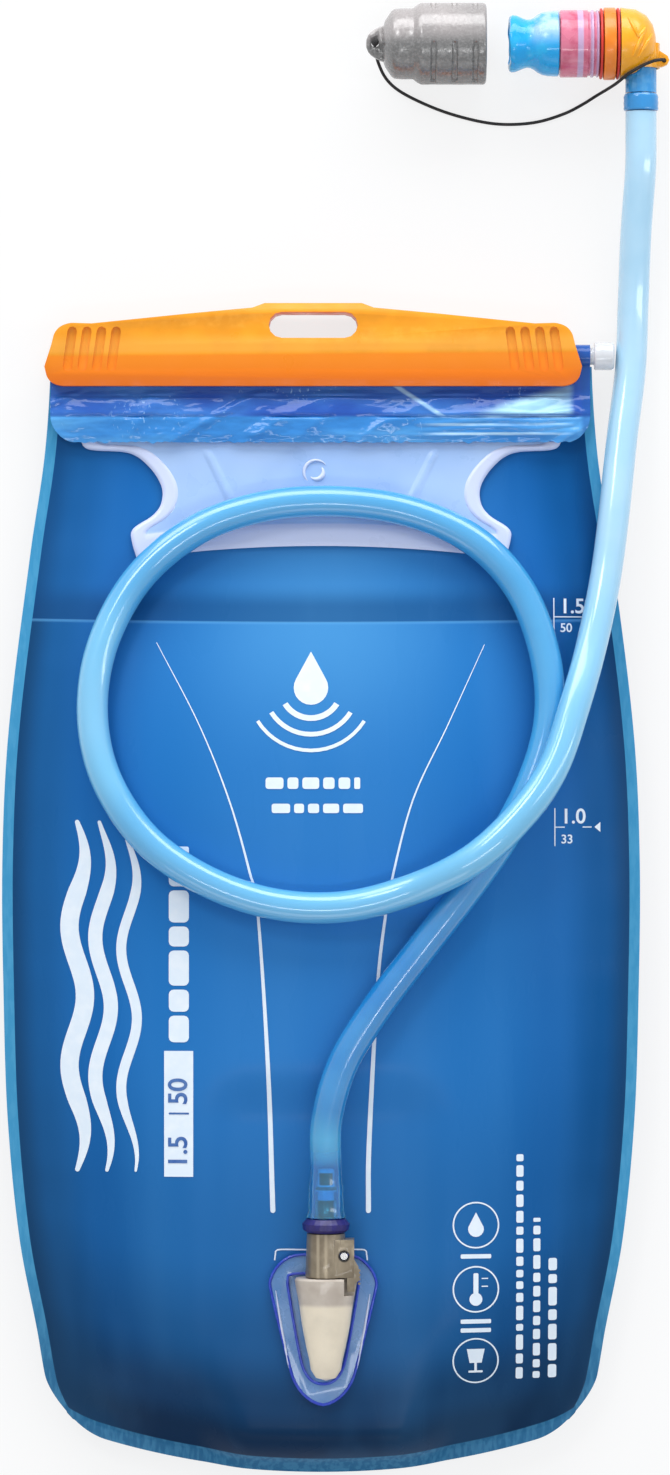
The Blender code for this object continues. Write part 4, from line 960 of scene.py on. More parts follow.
def puckers(x, y, from_side, from_bottom):
    """Small gathers where the film leaves its welds."""
    ramp = ease((min(from_side, from_bottom) - weld_band) / 0.006)
    side = math.exp(-max(from_side - weld_band, 0) / 0.010)
    foot = math.exp(-max(from_bottom - weld_band, 0) / 0.010)
    gather = side * noise.noise(Vector((3.1, y * 120, 0.4))) * 0.00055
    gather += foot * noise.noise(Vector((x * 130, 7.7, 0.2))) * 0.00050
    return ramp * gather


def front_z(x, y, from_side, from_bottom):
    return swelled(x, y, from_side, from_bottom) + puckers(x, y, from_side, from_bottom)


def back_z(x, y, from_side, from_bottom):
    seam = seam_z(y) - film_pitch / 2
    flat = dome((from_side - weld_band) / back_run) * dome((from_bottom - weld_band) / back_run)
    flat *= dome((clip_bottom_y - y) / back_neck_run)
    lift = 0.00025 * (1 + noise.noise(Vector((x * 40, y * 40, 1.5)))) * flat
    return between(seam, film / 2, flat) + lift + 0.6 * puckers(x, y, from_side, from_bottom) * (1 - flat)


def film_top(x, y):
    """The height of the front film's upper face at one place."""
    return front_z(x, y, half_width(y) - abs(x), y - bottom_y(x)) + film / 2


def film_point(u, v, height):
    """A grid corner on the pouch, with its distances from the side and bottom welds."""
    across = u * (1.5 - 0.5 * u * u)
    w = 2 * v - 1
    along = 0.5 + 0.5 * w * (1.5 - 0.5 * w * w)
    x = across * bag_width / 2
    for _ in range(4):
        y = between(film_top_y, bottom_y(x), along)
        x = across * half_width(y)
    from_side = half_width(y) - abs(x)
    from_bottom = y - bottom_y(x)
    z = height(x, y, from_side, from_bottom)
    if from_side < corner_radius and from_bottom < corner_radius:
        a = 1 - from_side / corner_radius
        b = 1 - from_bottom / corner_radius
        inward = corner_radius * (1 - a * math.sqrt(1 - b * b / 2))
        upward = corner_radius * (1 - b * math.sqrt(1 - a * a / 2))
        x = math.copysign(half_width(y) - inward, x)
        y = bottom_y(x) + upward
    return Vector((x, y, z)), from_side, from_bottom


def grid(name, columns, rows, place, thickness, look, offset=0.0, notes=()):
    """A sheet: place(u, v) gives each corner's point and the numbers that notes names."""
    shape = bmesh.new()
    table = []
    spots = []
    for row in range(rows + 1):
        line = []
        for column in range(columns + 1):
            point, *numbers = place(2 * column / columns - 1, row / rows)
            line.append(shape.verts.new(point))
            table.append(numbers)
        spots.append(line)
    for row in range(rows):
        for column in range(columns):
            shape.faces.new((spots[row][column], spots[row + 1][column],
                             spots[row + 1][column + 1], spots[row][column + 1]))
    thing = finish_mesh(name, shape, look, 60)
    for k, note in enumerate(notes):
        put(thing, note, [numbers[k] for numbers in table])
    wall = thing.modifiers.new("wall", "SOLIDIFY")
    wall.thickness = thickness
    wall.offset = offset
    bake_in(thing)
    thing.data.shade_smooth()
    thing.data.set_sharp_from_angle(angle=math.radians(60))
    return thing


def film_place(height):
    def place(u, v):
        point, from_side, from_bottom = film_point(u, v, height)
        return point, from_side, from_bottom, min(from_side / 0.0030, from_bottom / 0.0044)
    return place


fine = 1.0
front_film = grid("front_film_skin", int(140 * fine), int(230 * fine), film_place(front_z), film,
                  "blue_film", 0.0, ("side", "foot", "rim"))
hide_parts("front_film")
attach(front_film, "reservoir")
back_film = grid("back_film_skin", int(90 * fine), int(150 * fine), film_place(back_z), film,
                 "blue_film_back", 0.0, ("side", "foot", "rim"))
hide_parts("back_film")
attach(back_film, "reservoir")


# The mouth band: film folded forward over the rail, crinkled, with two weld lines

lip_bottom_y = clip_bottom_y - 0.0157
lip_rise = 0.0034
lip_x, lip_half = -0.0002, 0.0757
wrap_radius = rail_radius + gap + film / 2
arm = 1.5 * film_pitch
first = math.asin(arm / wrap_radius)
BAND_PATH = [
    (lip_bottom_y, neck_z + lip_rise - 0.0004), (lip_bottom_y + 0.0020, neck_z + lip_rise),
    (clip_bottom_y - 0.0075, neck_z + lip_rise), (clip_bottom_y - 0.0020, neck_z + arm),
]
for step in range(13):
    angle = between(first, 2 * math.pi - first, step / 12)
    BAND_PATH.append((rail_y - wrap_radius * math.cos(angle), neck_z + wrap_radius * math.sin(angle)))
BAND_PATH.append((rail_y - wrap_radius * math.cos(first) - 0.0030, neck_z - arm))
band_reach = [0.0]
for a, b in zip(BAND_PATH, BAND_PATH[1:]):
    band_reach.append(band_reach[-1] + math.hypot(b[0] - a[0], b[1] - a[1]))
WELD_LINES = (0.1378, 0.1320)


def band_place(u, v):
    reach = band_reach[-1] * v ** 1.25
    k = 0
    while k < len(band_reach) - 2 and reach > band_reach[k + 1]:
        k += 1
    share = (reach - band_reach[k]) / (band_reach[k + 1] - band_reach[k])
    y = between(BAND_PATH[k][0], BAND_PATH[k + 1][0], share)
    z = between(BAND_PATH[k][1], BAND_PATH[k + 1][1], share)
    drop = clip_bottom_y - y
    half = lip_half
    if reach < band_reach[3] and drop > 0.0080:
        half -= 0.0080 * (1 - math.sqrt(max(0.0, 1 - ((drop - 0.0080) / 0.0079) ** 2)))
    x = lip_x + u * half
    free = ease((clip_bottom_y - 0.0006 - y) / 0.003) if reach < band_reach[4] else 0.0
    wrinkle = noise.fractal(Vector((x * 60, y * 130, 2.0)), 1.0, 2.0, 4) * 0.0006
    wrinkle += noise.noise(Vector((x * 210 + y * 90, y * 60, 5.0))) * 0.00022
    fold = abs(noise.noise(Vector((x * 38 - y * 60, y * 22, 9.0))))
    wrinkle += max(0.0, 0.14 - fold) * 0.0050
    right = ease((x - 0.022) / 0.010) * ease((0.0735 - x) / 0.004)
    sway = 0.0005 * math.sin(x * 160) + 0.0016 * ease((x - 0.058) / 0.014)
    for at, tall in ((0.1326, 0.00050), (0.1306, 0.00034), (0.1287, 0.00040), (0.1272, 0.00030)):
        wrinkle += right * tall * math.exp(-((y - at - sway) / 0.00070) ** 2)
    sweep_up = ease((x - 0.040) / 0.026) * ease((0.0735 - x) / 0.004)
    wrinkle += sweep_up * 0.0011 * ease((0.1402 - y) / 0.0072)
    crease = near_line(Vector((x, y)), Vector((0.0215, 0.1404)), Vector((0.0325, 0.1330)))
    wrinkle += 0.00055 * math.exp(-(crease / 0.0012) ** 2)
    line = sum(math.exp(-((y - at) / 0.00045) ** 2) for at in WELD_LINES)
    frill = 0.00070 * noise.noise(Vector((x * 520, 1.0, 1.0))) * ease(1 - v / 0.03)
    return Vector((x, y + frill, z + free * (wrinkle * (1 - 0.8 * min(line, 1)) - 0.0002 * line + 0.0004))),


mouth_band = grid("mouth_band_skin", int(300 * fine), int(110 * fine), band_place, film,
                  "crinkled_film")
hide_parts("mouth_band")
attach(mouth_band, "reservoir")


# The pull flap: waisted, with a raised rim, two raised lines and a small round mark

FLAP_SIDE = [
    (0.0640, 0.0105), (0.0661, 0.0163), (0.0540, 0.0177), (0.0479, 0.0219), (0.0442, 0.0278),
    (0.0442, 0.0331), (0.0468, 0.0370), (0.0521, 0.0406), (0.0524, 0.0432), (0.0510, 0.0482),
]
flap_line = spline([(half, drop, 0.0) for half, drop in FLAP_SIDE], 0.0006)
flap_thickness = 0.0010
flap_lift = 0.0005
flap_rim = 0.0036
mark = Vector((-0.0014, 0.1165))


def flap_place(u, v):
    at = v * (len(flap_line) - 1)
    k = min(int(at), len(flap_line) - 2)
    half, drop, _ = flap_line[k].lerp(flap_line[k + 1], at - k)
    across = u * (1.3 - 0.3 * u * u)
    x = across * half
    crown = 0.0034 * ease((v - 0.25) / 0.6) * (1 - across ** 2)
    y = clip_bottom_y - drop + crown
    from_edge = min(half * (1 - abs(across)), (1 - v) * 0.030 + 0.0002)
    raised = ease((flap_rim - from_edge) / 0.0009) * ease(from_edge / 0.0004)
    spot = Vector((abs(x), y))
    ridge = math.exp(-(near_line(spot, Vector((0.0335, 0.1255)), Vector((0.0255, 0.1090))) / 0.0008) ** 2)
    ridge *= ease((0.1236 - y) / 0.003)
    z = swelled(x, y, half_width(y) - abs(x), y - bottom_y(x)) + film / 2 + flap_lift
    return Vector((x, y, z + 0.00035 * raised + 0.00055 * ridge)), from_edge / flap_rim


flap = grid("pull_flap_skin", int(200 * fine), int(90 * fine), flap_place, flap_thickness,
            "lavender_flap", 1.0, ("rim",))
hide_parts("pull_flap")
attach(flap, "reservoir")
mark_z = swelled(mark.x, mark.y, half_width(mark.y), mark.y - bag_bottom_y) + film / 2
mark_z += flap_lift + flap_thickness
for k, (radius, wide, low_turn, high_turn) in enumerate((
        (0.0034, 0.00048, 40, 250), (0.0020, 0.00075, 220, 400))):
    arc = [Vector((mark.x + radius * math.cos(math.radians(turn)),
                   mark.y + radius * math.sin(math.radians(turn)), mark_z))
           for turn in range(low_turn, high_turn + 1, 6)]
    count = len(arc) - 1
    sizes = [wide * (0.25 + 0.75 * math.sin(math.pi * i / count)) for i in range(count + 1)]
    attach(sweep(f"flap_mark_{k}", arc, sizes, "pale_plastic", 10), "reservoir")


# Prints on the front film: plain marks, laid on the film as thin ink

def mm(x, y):
    """A place on the pouch, given in millimetres from its middle."""
    return Vector((x, y)) / 1000


class Print:
    """Ink shapes on the film, gathered into one mesh."""

    def __init__(self, name, look, lift=0.00011):
        self.name, self.look, self.lift = name, look, lift
        self.shape = bmesh.new()

    def vert(self, point):
        return self.shape.verts.new((point.x, point.y, film_top(point.x, point.y) + self.lift))

    def stroke(self, points, widths, spacing=0.0016):
        """A line with round ends, its width changing from point to point."""
        path = [Vector((p.x, p.y)) for p in spline([(q.x, q.y, 0) for q in points], spacing)]
        count = len(path)
        halves = [straight(list(enumerate(widths)), i * (len(widths) - 1) / (count - 1)) / 2
                  for i in range(count)]
        sides = []
        for i in range(count):
            run = (path[min(i + 1, count - 1)] - path[max(i - 1, 0)]).normalized()
            sides.append(Vector((-run.y, run.x)))
        left = [self.vert(p + s * h) for p, s, h in zip(path, sides, halves)]
        right = [self.vert(p - s * h) for p, s, h in zip(path, sides, halves)]
        for i in range(count - 1):
            self.shape.faces.new((left[i], right[i], right[i + 1], left[i + 1]))
        for end, turn in ((0, 1), (-1, -1)):
            start = math.atan2(sides[end].y, sides[end].x)
            arc = [self.vert(path[end] + halves[end] * Vector((
                math.cos(start + turn * math.pi * k / 8), math.sin(start + turn * math.pi * k / 8))))
                for k in range(1, 8)]
            self.shape.faces.new([left[end], *arc, right[end]])

    def ring(self, centre, radius, width, start=0.0, end=360.0):
        count = max(12, int((end - start) / 7))
        turns = [math.radians(between(start, end, k / count)) for k in range(count + 1)]
        outer = [self.vert(centre + (radius + width / 2) * Vector((math.cos(a), math.sin(a))))
                 for a in turns]
        inner = [self.vert(centre + (radius - width / 2) * Vector((math.cos(a), math.sin(a))))
                 for a in turns]
        for i in range(count):
            self.shape.faces.new((outer[i], outer[i + 1], inner[i + 1], inner[i]))

    def panel(self, low, high, cell=0.0014):
        """A filled rectangle that follows the film."""
        across = max(1, round((high.x - low.x) / cell))
        upward = max(1, round((high.y - low.y) / cell))
        spots = [[self.vert(Vector((between(low.x, high.x, i / across),
                                    between(low.y, high.y, j / upward))))
                  for i in range(across + 1)] for j in range(upward + 1)]
        for a, b in zip(spots, spots[1:]):
            for i in range(across):
                self.shape.faces.new((a[i], a[i + 1], b[i + 1], b[i]))

    def patch(self, points):
        self.shape.faces.new([self.vert(p) for p in points])

    def bar(self, centre, wide, tall):
        """An upright rounded bar."""
        r = min(wide, tall) * 0.24
        points = []
        for x, y, start in ((1, 1, 0), (-1, 1, 90), (-1, -1, 180), (1, -1, 270)):
            for k in range(4):
                a = math.radians(start + 30 * k)
                points.append(centre + Vector((x * (wide / 2 - r) + r * math.cos(a),
                                               y * (tall / 2 - r) + r * math.sin(a))))
        self.patch(points)

    def words(self, start, end, wide):
        """Short bars in a row, standing in for a line of small text."""
        run = end - start
        upright = abs(run.y) > abs(run.x)
        at = 0.0
        while at < run.length - 0.001:
            size = min(dice.uniform(0.9, 2.2) * wide, run.length - at)
            centre = start + run.normalized() * (at + size / 2)
            self.bar(centre, *((wide, size) if upright else (size, wide)))
            at += size + 0.0011

    def figures(self, text, place, height, turn=0.0):
        """Plain numerals."""
        data = bpy.data.curves.new("figures", "FONT")
        data.body = text
        data.size = height * 1.38
        data.offset = height * 0.022
        thing = bpy.data.objects.new("figures", data)
        scene.collection.objects.link(thing)
        bpy.context.view_layer.update()
        graph = bpy.context.evaluated_depsgraph_get()
        mesh = bpy.data.meshes.new_from_object(thing.evaluated_get(graph))
        bpy.data.objects.remove(thing)
        spin = Matrix.Rotation(turn, 4, "Z")
        made = {}
        for i, corner in enumerate(mesh.vertices):
            flat = spin @ corner.co
            made[i] = self.vert(Vector((place.x + flat.x, place.y + flat.y)))
        for face in mesh.polygons:
            self.shape.faces.new([made[i] for i in face.vertices])
        bpy.data.meshes.remove(mesh)

    def done(self):
        for face in self.shape.faces:
            if face.normal.z < 0:
                face.normal_flip()
        data = bpy.data.meshes.new(self.name)
        self.shape.normal_update()
        bmesh.ops.triangulate(self.shape, faces=[f for f in self.shape.faces if len(f.verts) > 4])
        self.shape.normal_update()
        for face in self.shape.faces:
            if face.normal.z < 0:
                face.normal_flip()
        self.shape.to_mesh(data)
        self.shape.free()
        data.shade_smooth()
        data.materials.append(LOOKS[self.look])
        thing = bpy.data.objects.new(self.name, data)
        scene.collection.objects.link(thing)
        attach(thing, "reservoir")
        return thing


ink = Print("film_print", "white_ink")
LEFT_LINE = [(-45.9, 68.6), (-33.9, 45.6), (-25.5, 24.6), (-19.9, 5.0), (-17.6, -6.2), (-14.8, -48.2),
             (-13.4, -89.6)]
RIGHT_LINE = [(45.6, 68.0), (35.3, 45.6), (25.5, 24.6), (19.3, 0.8), (17.9, -7.6), (15.7, -27.4),
              (13.4, -70.8), (13.2, -89.6)]
LINE_WIDTHS = [0.00018, 0.00030, 0.0005, 0.0008, 0.0010, 0.0013, 0.0014]
ink.stroke([mm(*p) for p in LEFT_LINE], LINE_WIDTHS)
ink.stroke([mm(*p) for p in RIGHT_LINE], LINE_WIDTHS)
# The large upright graphic: three waves side by side
for k, wide in enumerate((0.0052, 0.0040, 0.0028)):
    points = []
    for step in range(33):
        t = step / 32
        sway = math.sin(t * 2 * math.pi * 2.5 + k * 0.5) * 2.2
        points.append(mm(-68.0 + k * 7.3 + sway, between(-78.4, 18.5, t)))
    ink.stroke(points, [wide * 0.25, wide, wide, wide, wide, wide * 0.25], 0.0014)
ink.words(mm(-39.5, -42.6), mm(-39.5, 11.8), 0.0056)
ink.panel(mm(-43.6, -80.0), mm(-35.5, -45.0))
# The middle motif: a drop over widening ripples
drop = [mm(-2.8, 66.1)]
for k in range(17):
    a = math.radians(between(150, 390, k / 16))
    drop.append(mm(-2.8, 56.0) + 0.0048 * Vector((math.cos(a), math.sin(a))))
ink.patch(drop)
for radius, wide in ((0.0085, 0.0016), (0.0130, 0.0013), (0.0175, 0.0010)):
    ink.ring(mm(-2.8, 56.0), radius, wide, 212, 328)
ink.words(mm(-15.4, 29.4), mm(10.9, 29.4), 0.0032)
ink.words(mm(-13.7, 22.4), mm(12.6, 22.4), 0.0026)
# The volume marks
for low, high, tick in ((70.8, 81.2, 75.9), (11.8, 22.4, 17.1)):
    ink.bar(mm(65.2, (low + high) / 2), 0.0003, (high - low) / 1000)
    ink.bar(mm(70.4, tick), 0.0104, 0.0003)
ink.figures("1.5", mm(66.9, 77.0), 0.0042)
ink.figures("50", mm(66.9, 71.7), 0.0025)
ink.figures("1.0", mm(66.9, 18.2), 0.0042)
ink.figures("33", mm(66.9, 12.6), 0.0025)
ink.patch([mm(76.4, 17.1), mm(78.1, 15.7), mm(78.1, 18.5)])
# Three care signs: a drop, a thermometer and a cup, each in a ring
for y in (-93.5, -111.4, -131.6):
    ink.ring(mm(43.1, y), 0.0063, 0.00042)
leaf = [mm(43.1, -89.9)]
for k in range(13):
    a = math.radians(between(140, 400, k / 12))
    leaf.append(mm(43.1, -94.6) + 0.0022 * Vector((math.cos(a), math.sin(a))))
ink.patch(leaf)
ink.bar(mm(43.1, -110.0), 0.0014, 0.0062)
ink.ring(mm(43.1, -114.2), 0.0009, 0.0018)
ink.bar(mm(45.6, -108.4), 0.0018, 0.0003)
ink.bar(mm(45.6, -110.6), 0.0018, 0.0003)
ink.patch([mm(40.6, -128.2), mm(45.6, -128.2), mm(44.8, -132.2), mm(41.4, -132.2)])
ink.bar(mm(43.1, -133.3), 0.0007, 0.0026)
ink.bar(mm(43.1, -134.7), 0.0040, 0.0006)
ink.words(mm(55.4, -137.2), mm(55.4, -73.4), 0.0020)
ink.words(mm(60.2, -137.2), mm(60.2, -91.8), 0.0020)
ink.words(mm(64.7, -137.2), mm(64.7, -101.4), 0.0024)
for y in (-102.2, -120.4, -122.9):
    ink.bar(mm(43.1, y), 0.0085, 0.0012)
# The bracket over the port
for way in (-1, 1):
    ends = [mm(way * 4.2, -100.5), mm(way * 11.8, -100.5), mm(way * 12.6, -101.4),
            mm(way * 12.9, -103.3)]
    ink.stroke(ends, [0.0004, 0.0004], 0.0008)
ink.done()
dark = Print("film_figures", "blue_ink", 0.00022)
dark.figures("1.5", mm(-37.3, -77.6), 0.0054, math.radians(90))
dark.bar(mm(-39.5, -62.4), 0.0056, 0.0005)
dark.figures("50", mm(-37.3, -60.0), 0.0054, math.radians(90))
dark.done()


# The closing clip and its rail

clip_x, clip_end = -0.0022, 0.0753
clip_top_y, clip_top_z = overall_length / 2, 0.0130


def end_corners(low, high):
    """Picks the upright outline edges at the clip's ends that lie between two heights."""
    def chosen(edge):
        a, b = (v.co for v in edge.verts)
        off = abs((a.x + b.x) / 2 - clip_x)
        upright = abs(b.z - a.z) > 0.9 * (b - a).length and (b - a).length > 0.0025
        return (upright and off > clip_end - 0.0082 and low < a.y < high
                and edge.calc_face_angle(0.0) > 0.4)
    return chosen


def slot_rim(edge):
    """The edges round the hang slot on the clip's upper face."""
    middle = (edge.verts[0].co + edge.verts[1].co) / 2
    return (abs(middle.x - clip_x) < 0.0130 and abs(middle.y - (clip_top_y - 0.0062)) < 0.0041
            and (middle.z > clip_top_z - 0.0006 or middle.z < 0.0006))


clip = refined("slider_clip", "clip_skin", "clip_orange", "clip", 0.0005, 3,
               [(end_corners(0.1500, 0.1600), 0.0018, 5),
                (end_corners(0.1300, 0.1450), 0.0015, 5), (slot_rim, 0.0011, 2)])
rail = refined("closure_rail", "rail_skin", "clear_plastic", "reservoir", 0.0004, 3)


# The port and the quick-release plug

flange = refined("port_flange", "flange_skin", "port_blue", "reservoir", 0.00080, 4)
flange_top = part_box("port_flange")[1][2]
# Raised beads along both sides of the flange, whose pale colour is a painted highlight line
for side, bead in (("left", [(-12.6, -111.6), (-10.8, -123.0), (-8.6, -133.6), (-6.8, -137.6)]),
                   ("right", [(13.6, -112.6), (12.0, -123.0), (9.8, -133.6), (8.0, -137.6)])):
    bead_path = spline([(x / 1000, y / 1000, flange_top + 0.0001) for x, y in bead], 0.0010)
    bead_sizes = [0.00032 * math.sin(math.pi * clamp(i / (len(bead_path) - 1)) * 0.9 + 0.15) + 0.00005
                  for i in range(len(bead_path))]
    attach(sweep(f"flange_bead_{side}", bead_path, bead_sizes, "pale_plastic", 8),
            "reservoir")


def top_loops(node, level):
    """The closed outlines of a CAD node's upper face, each as points in order."""
    shape = bmesh.new()
    shape.from_mesh(bpy.data.objects[node].data)
    shape.transform(bpy.data.objects[node].matrix_world)
    bmesh.ops.remove_doubles(shape, verts=shape.verts, dist=0.000004)
    top = {f for f in shape.faces if all(abs(v.co.z - level) < 0.00005 for v in f.verts)}
    edges = {e for f in top for e in f.edges if sum(g in top for g in e.link_faces) == 1}
    loops = []
    while edges:
        first = edges.pop()
        start, at = first.verts
        points = [start.co.copy()]
        while at is not start:
            points.append(at.co.copy())
            follow = next((e for e in at.link_edges if e in edges), None)
            if follow is None:
                break
            edges.discard(follow)
            at = follow.other_vert(at)
        loops.append(points)
    shape.free()
    return loops


# Deep blue tubes along the flange's top outlines: painted shade on its edges
for k, loop in enumerate(top_loops("port_flange", flange_top)):
    if length_of(loop) > 0.03:
        rim_path = loop + loop[:2]
        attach(sweep(f"flange_rim_{k}", rim_path, [0.00042] * len(rim_path), "deep_blue",
                      8), "reservoir")
refined("port_socket", "socket_skin", "cream_plastic", "reservoir", 0.0002, 2)
refined("plug_body", "plug_skin", "taupe_plastic", "plug", 0.0002, 2)
lever = refined("release_lever", "lever_skin", "taupe_plastic", "lever", 0.0002, 2)
lever_low, lever_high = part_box("release_lever")
for k in range(4):
    y = PIN_PLACE[1] - 0.0042 - 0.0012 * k
    ridge_x = lever_high[0] - 0.0002
    ridge_path = [Vector((ridge_x, y, between(lever_low[2], lever_high[2], share)))
                  for share in (0.15, 0.5, 0.85)]
    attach(sweep(f"lever_ridge_{k}", ridge_path, [0.00034] * 3, "taupe_plastic", 8),
            "lever")


# The bite valve

def collar(name, node, start, end, radius, bore, look, body, lip=0.0003):
    """A ring with rounded edges, turned on the valve's axis."""
    profile = [
        (start, bore), (start, radius - lip), (start + lip * 0.3, radius - lip * 0.3),
        (start + lip, radius), (end - lip, radius), (end - lip * 0.3, radius - lip * 0.3),
        (end, radius - lip), (end, bore),
    ]
    made = lathe(name, profile, "X", valve, look, 72, True)
    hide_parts(node)
    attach(made, body)
    return made


core_radius = 0.0094
core_start = 0.0668
tip_start = 0.0524
ring_start = 0.0790
elbow_start = 0.0837
neck_radius = 0.0060
core_nose = 0.0073
core_bore = 0.0034
slit_radius = 0.0053
valve_radius = 0.0101
stub = neck_radius - gap
shoulder = ring_start - 0.0010 - gap

core_profile = [
    (elbow_start + 0.0010, core_bore), (elbow_start + 0.0010, stub), (shoulder, stub),
    (shoulder, core_radius - 0.0003), (shoulder - 0.0003, core_radius),
    (0.0772, core_radius), (0.0769, core_radius - 0.0004), (0.0764, core_radius - 0.0004),
    (0.0761, core_radius), (0.0756, core_radius), (0.0753, core_radius - 0.0004),
    (0.0748, core_radius - 0.0004), (0.0745, core_radius), (core_start + 0.0003, core_radius),
    (core_start, core_radius - 0.0003), (core_start, core_nose), (core_start - 0.0063, core_nose),
    (core_start - 0.0063, core_bore),
]
core = lathe("core_skin", core_profile, "X", valve, "pink_core", 72, True)
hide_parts("valve_core")
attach(core, "head")


def tip_ripple(place, radius, angle):
    """The soft lip waves a little, and the barrel is not quite round."""
    lip = ease((tip_start + 0.0050 - place) / 0.0040)
    shift = lip * (0.00018 * (1 + math.sin(3 * angle + 0.6)) + 0.00008 * (1 + math.sin(8 * angle)))
    wide = 0.00016 * math.sin(3 * angle + 1.0 + place * 300)
    return shift * (radius > slit_radius + 0.0003), -abs(wide) * (radius > core_nose + 0.001)


tip_profile = [
    (core_start - gap, core_nose + gap), (core_start - gap, core_radius - 0.0004),
    (core_start - gap - 0.0003, core_radius - 0.0001), (tip_start + 0.0110, core_radius - 0.0002),
    (tip_start + 0.0094, core_radius - 0.0006), (tip_start + 0.0082, core_radius - 0.0013),
    (tip_start + 0.0072, core_radius - 0.0021), (tip_start + 0.0062, slit_radius + 0.0015),
    (tip_start + 0.0052, slit_radius + 0.0014), (tip_start + 0.0042, slit_radius + 0.0017),
    (tip_start + 0.0030, slit_radius + 0.0022), (tip_start + 0.0018, slit_radius + 0.0026),
    (tip_start + 0.0008, slit_radius + 0.0027), (tip_start + 0.0002, slit_radius + 0.0024),
    (tip_start, slit_radius + 0.0018),
    (tip_start, slit_radius + 0.0007), (tip_start + 0.0008, slit_radius + 0.0004),
    (tip_start + 0.0030, slit_radius), (tip_start + 0.0061, slit_radius),
    (tip_start + 0.0078, core_nose + gap),
]
tip = lathe("tip_skin", tip_profile, "X", valve, "blue_silicone", 96, True, tip_ripple)
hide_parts("bite_tip")
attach(tip, "head")

lock = collar("lock_ring_skin", "lock_ring", ring_start, ring_start + 0.0034, valve_radius,
              neck_radius, "ring_orange", "head", 0.0004)
collar("front_seal_skin", "front_seal", ring_start - 0.0010, ring_start - gap, valve_radius - 0.0002,
       neck_radius, "seal_rubber", "head", 0.0003)
collar("rear_seal_skin", "rear_seal", ring_start + 0.0037, elbow_start - gap, valve_radius - 0.0001,
       neck_radius, "seal_rubber", "elbow", 0.0003)


def solid_box(name, low, high, turn=0.0):
    """A small block, turned about Z, to join to another piece."""
    shape = bmesh.new()
    bmesh.ops.create_cube(shape, size=1.0)
    size = Vector(high) - Vector(low)
    middle = (Vector(high) + Vector(low)) / 2
    shape.transform(Matrix.Translation(middle) @ Matrix.Rotation(turn, 4, "Z")
                    @ Matrix.Diagonal((*size, 1)))
    return finish_mesh(name, shape, "orange_plastic")


def joined(thing, other):
    step = thing.modifiers.new("join", "BOOLEAN")
    step.operation = "UNION"
    step.object = other
    step.solver = "EXACT"
    bake_in(thing)
    bpy.data.objects.remove(other)
    return thing


elbow = refined("valve_elbow", "elbow_skin", "orange_plastic", "elbow", 0.0004, 3)


def rib(name, start, end, width, look, body):
    """A low rounded rib over the elbow's dome between two places on its axis plan."""
    points = []
    for k in range(13):
        t = k / 12
        flat = Vector(start).lerp(Vector(end), t)
        x, y = flat.x, flat.y
        off = abs(y - valve.y)
        profile = [(elbow_start, valve_radius), (elbow_start + 0.0043, valve_radius - 0.0005),
                   (elbow_start + 0.0073, 0.0079), (elbow_start + 0.0091, 0.0054),
                   (elbow_start + 0.0099, 0.0025), (elbow_start + 0.0102, 0.0001)]
        radius = straight(profile, x)
        z = valve.z + math.sqrt(max(radius ** 2 - off ** 2, 0.0))
        points.append(Vector((x, y, z)))
    sizes = [width * (0.55 + 0.45 * math.sin(math.pi * k / 12)) for k in range(13)]
    made = sweep(name, points, sizes, look, 12)
    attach(made, body)
    return made


for k, (start, end) in enumerate((
        ((0.0858, 0.2428), (0.0885, 0.2372)), ((0.0885, 0.2372), (0.0905, 0.2400)),
        ((0.0905, 0.2400), (0.0870, 0.2320)), ((0.0924, 0.2384), (0.0885, 0.2318)))):
    rib(f"elbow_rib_{k}", start, end, 0.00060, "orange_plastic", "elbow")

hose_collar_profile = [
    (0.0047, hose_bore), (0.0047, hose_radius + 0.0001), (0.0044, hose_radius + 0.0003),
    (0.0038, hose_radius + 0.0005), (0.0030, hose_radius + 0.0004), (0.0022, hose_radius + 0.0005),
    (0.0012, hose_radius + 0.0004), (0.0006, hose_radius + 0.0005), (0.0002, hose_radius + 0.0004),
    (0.0, hose_radius + 0.0001), (0.0, hose_bore),
]
collar_foot = Vector((swivel_x, valve.y - 0.0188, valve.z))
hose_collar = lathe("hose_collar_skin", hose_collar_profile, "Y", collar_foot, "valve_blue",
                    64, True)
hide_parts("hose_collar")
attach(hose_collar, "reservoir")


# The dust cap

cap_radius = 0.0113
cap_narrow = 0.0098
cap_mouth = 0.0462
cap_floor = 0.0206
cap_bore = core_radius + 0.00035
GROOVE_PLACES = (0.0314, 0.0373, 0.0431)


def cap_ripple(place, radius, angle):
    """Pressed-in bars round the cap, in three rows, and a hair of unevenness."""
    wide = 0.00010 * math.sin(2 * angle + 0.5)
    if radius > cap_radius - 0.0004:
        for at in GROOVE_PLACES:
            row = math.exp(-((place - at) / 0.00075) ** 6)
            turn = math.degrees(angle) % 180
            short = ease((turn - 12) / 3) * ease((40 - turn) / 3)
            long = ease((turn - 92) / 3) * ease((168 - turn) / 3)
            wide -= 0.00060 * row * (short + long)
    return 0.0, wide if radius > cap_narrow - 0.002 else 0.0


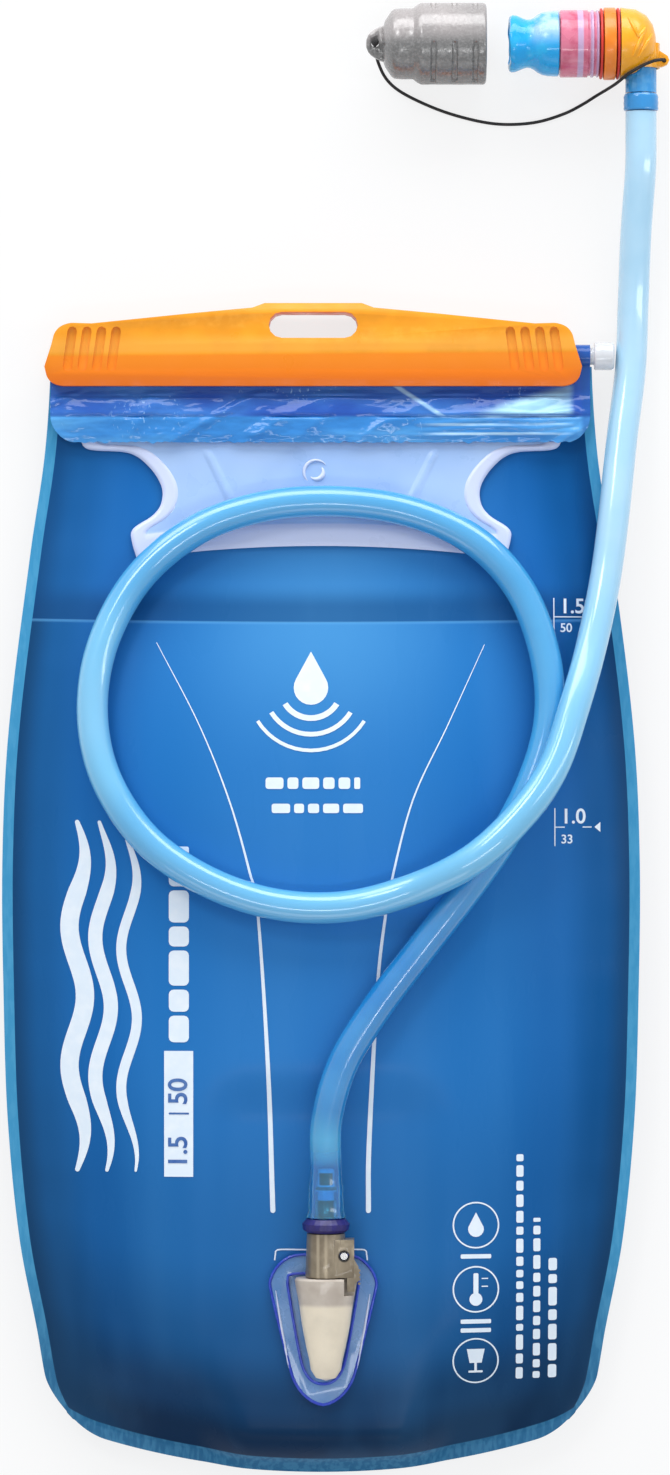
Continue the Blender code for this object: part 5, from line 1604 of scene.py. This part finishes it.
cap_profile = [
    (cap_floor, 0.0001), (cap_floor, 0.0085), (cap_floor + 0.0064, 0.0085),
    (cap_floor + 0.0069, cap_bore), (cap_mouth, cap_bore), (cap_mouth, cap_radius - 0.0007),
    (cap_mouth - 0.0003, cap_radius - 0.0002), (cap_mouth - 0.0008, cap_radius),
]
place = cap_mouth - 0.0011
while place > cap_floor + 0.0076:
    cap_profile.append((place, cap_radius))
    place -= 0.00030
cap_profile += [
    (cap_floor + 0.0072, cap_radius - 0.0001), (cap_floor + 0.0066, cap_radius - 0.0004),
    (cap_floor + 0.0060, cap_radius - 0.0008), (cap_floor + 0.0054, cap_narrow + 0.0002),
    (cap_floor + 0.0050, cap_narrow), (cap_floor + 0.0020, cap_narrow),
    (cap_floor - 0.0001, cap_narrow - 0.0002), (cap_floor - 0.0009, cap_narrow - 0.0008),
    (cap_floor - 0.0018, cap_narrow - 0.0020), (cap_floor - 0.0027, cap_narrow - 0.0034),
    (cap_floor - 0.0032, 0.0048), (cap_floor - 0.0035, 0.0030), (cap_floor - 0.0035, 0.0001),
]
cap = lathe("cap_skin", cap_profile, "X", valve, "grey_rubber", 144, False, cap_ripple)


def eye_lug():
    """The rounded lug on the cap's end, with the tether's hole through it."""
    eye = Vector((0.0151, valve.y, valve.z))
    outline = [(0.0036, 0.0055), (0.0016, 0.0049), (-0.0001, 0.0040), (-0.0012, 0.0032),
               (-0.0019, 0.0024), (-0.0024, 0.0012), (-0.0025, 0.0)]
    outline += [(x, -y) for x, y in reversed(outline[:-1])]
    shape = bmesh.new()
    steps = 20
    layers = []
    for level, shrink in ((-0.0015, 0.86), (-0.0012, 0.97), (0.0, 1.0), (0.0012, 0.97), (0.0015, 0.86)):
        outer = [shape.verts.new((eye.x + x * shrink, eye.y + y * shrink, eye.z + level))
                 for x, y in outline]
        layers.append(outer)
    for a, b in zip(layers, layers[1:]):
        for k in range(len(outline)):
            j = (k + 1) % len(outline)
            shape.faces.new((a[k], a[j], b[j], b[k]))
    shape.faces.new(layers[0])
    shape.faces.new(list(reversed(layers[-1])))
    lug = finish_mesh("cap_lug_skin", shape, "grey_rubber")
    bore = bmesh.new()
    bmesh.ops.create_cone(bore, cap_ends=True, segments=steps, radius1=0.0011, radius2=0.0011,
                          depth=0.01)
    bore.transform(Matrix.Translation(eye))
    cutter = finish_mesh("eye_cutter", bore, "grey_rubber")
    step = lug.modifiers.new("eye", "BOOLEAN")
    step.operation = "DIFFERENCE"
    step.object = cutter
    step.solver = "EXACT"
    bake_in(lug)
    bpy.data.objects.remove(cutter)
    return lug


lug = eye_lug()
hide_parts("dust_cap")
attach(cap, "cap")
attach(lug, "cap")


# CAD pieces that keep their own shape get their looks

KEPT = {
    "port_poppet": "cream_plastic", "poppet_seal": "seal_rubber", "plug_oring": "seal_rubber",
    "swivel_oring": "seal_rubber", "port_spring": "steel", "lever_pin": "steel",
    "lever_spring": "steel", "hose_barb": "barb_plastic", "plug_collar": "indigo_plastic",
    "swivel_spigot": "valve_blue", "slit_membrane": "blue_silicone", "cap_knot": "black_cord",
    "elbow_knot": "black_cord",
}
for name, look in KEPT.items():
    for place in bpy.data.objects[name].material_slots:
        place.material = LOOKS[look]
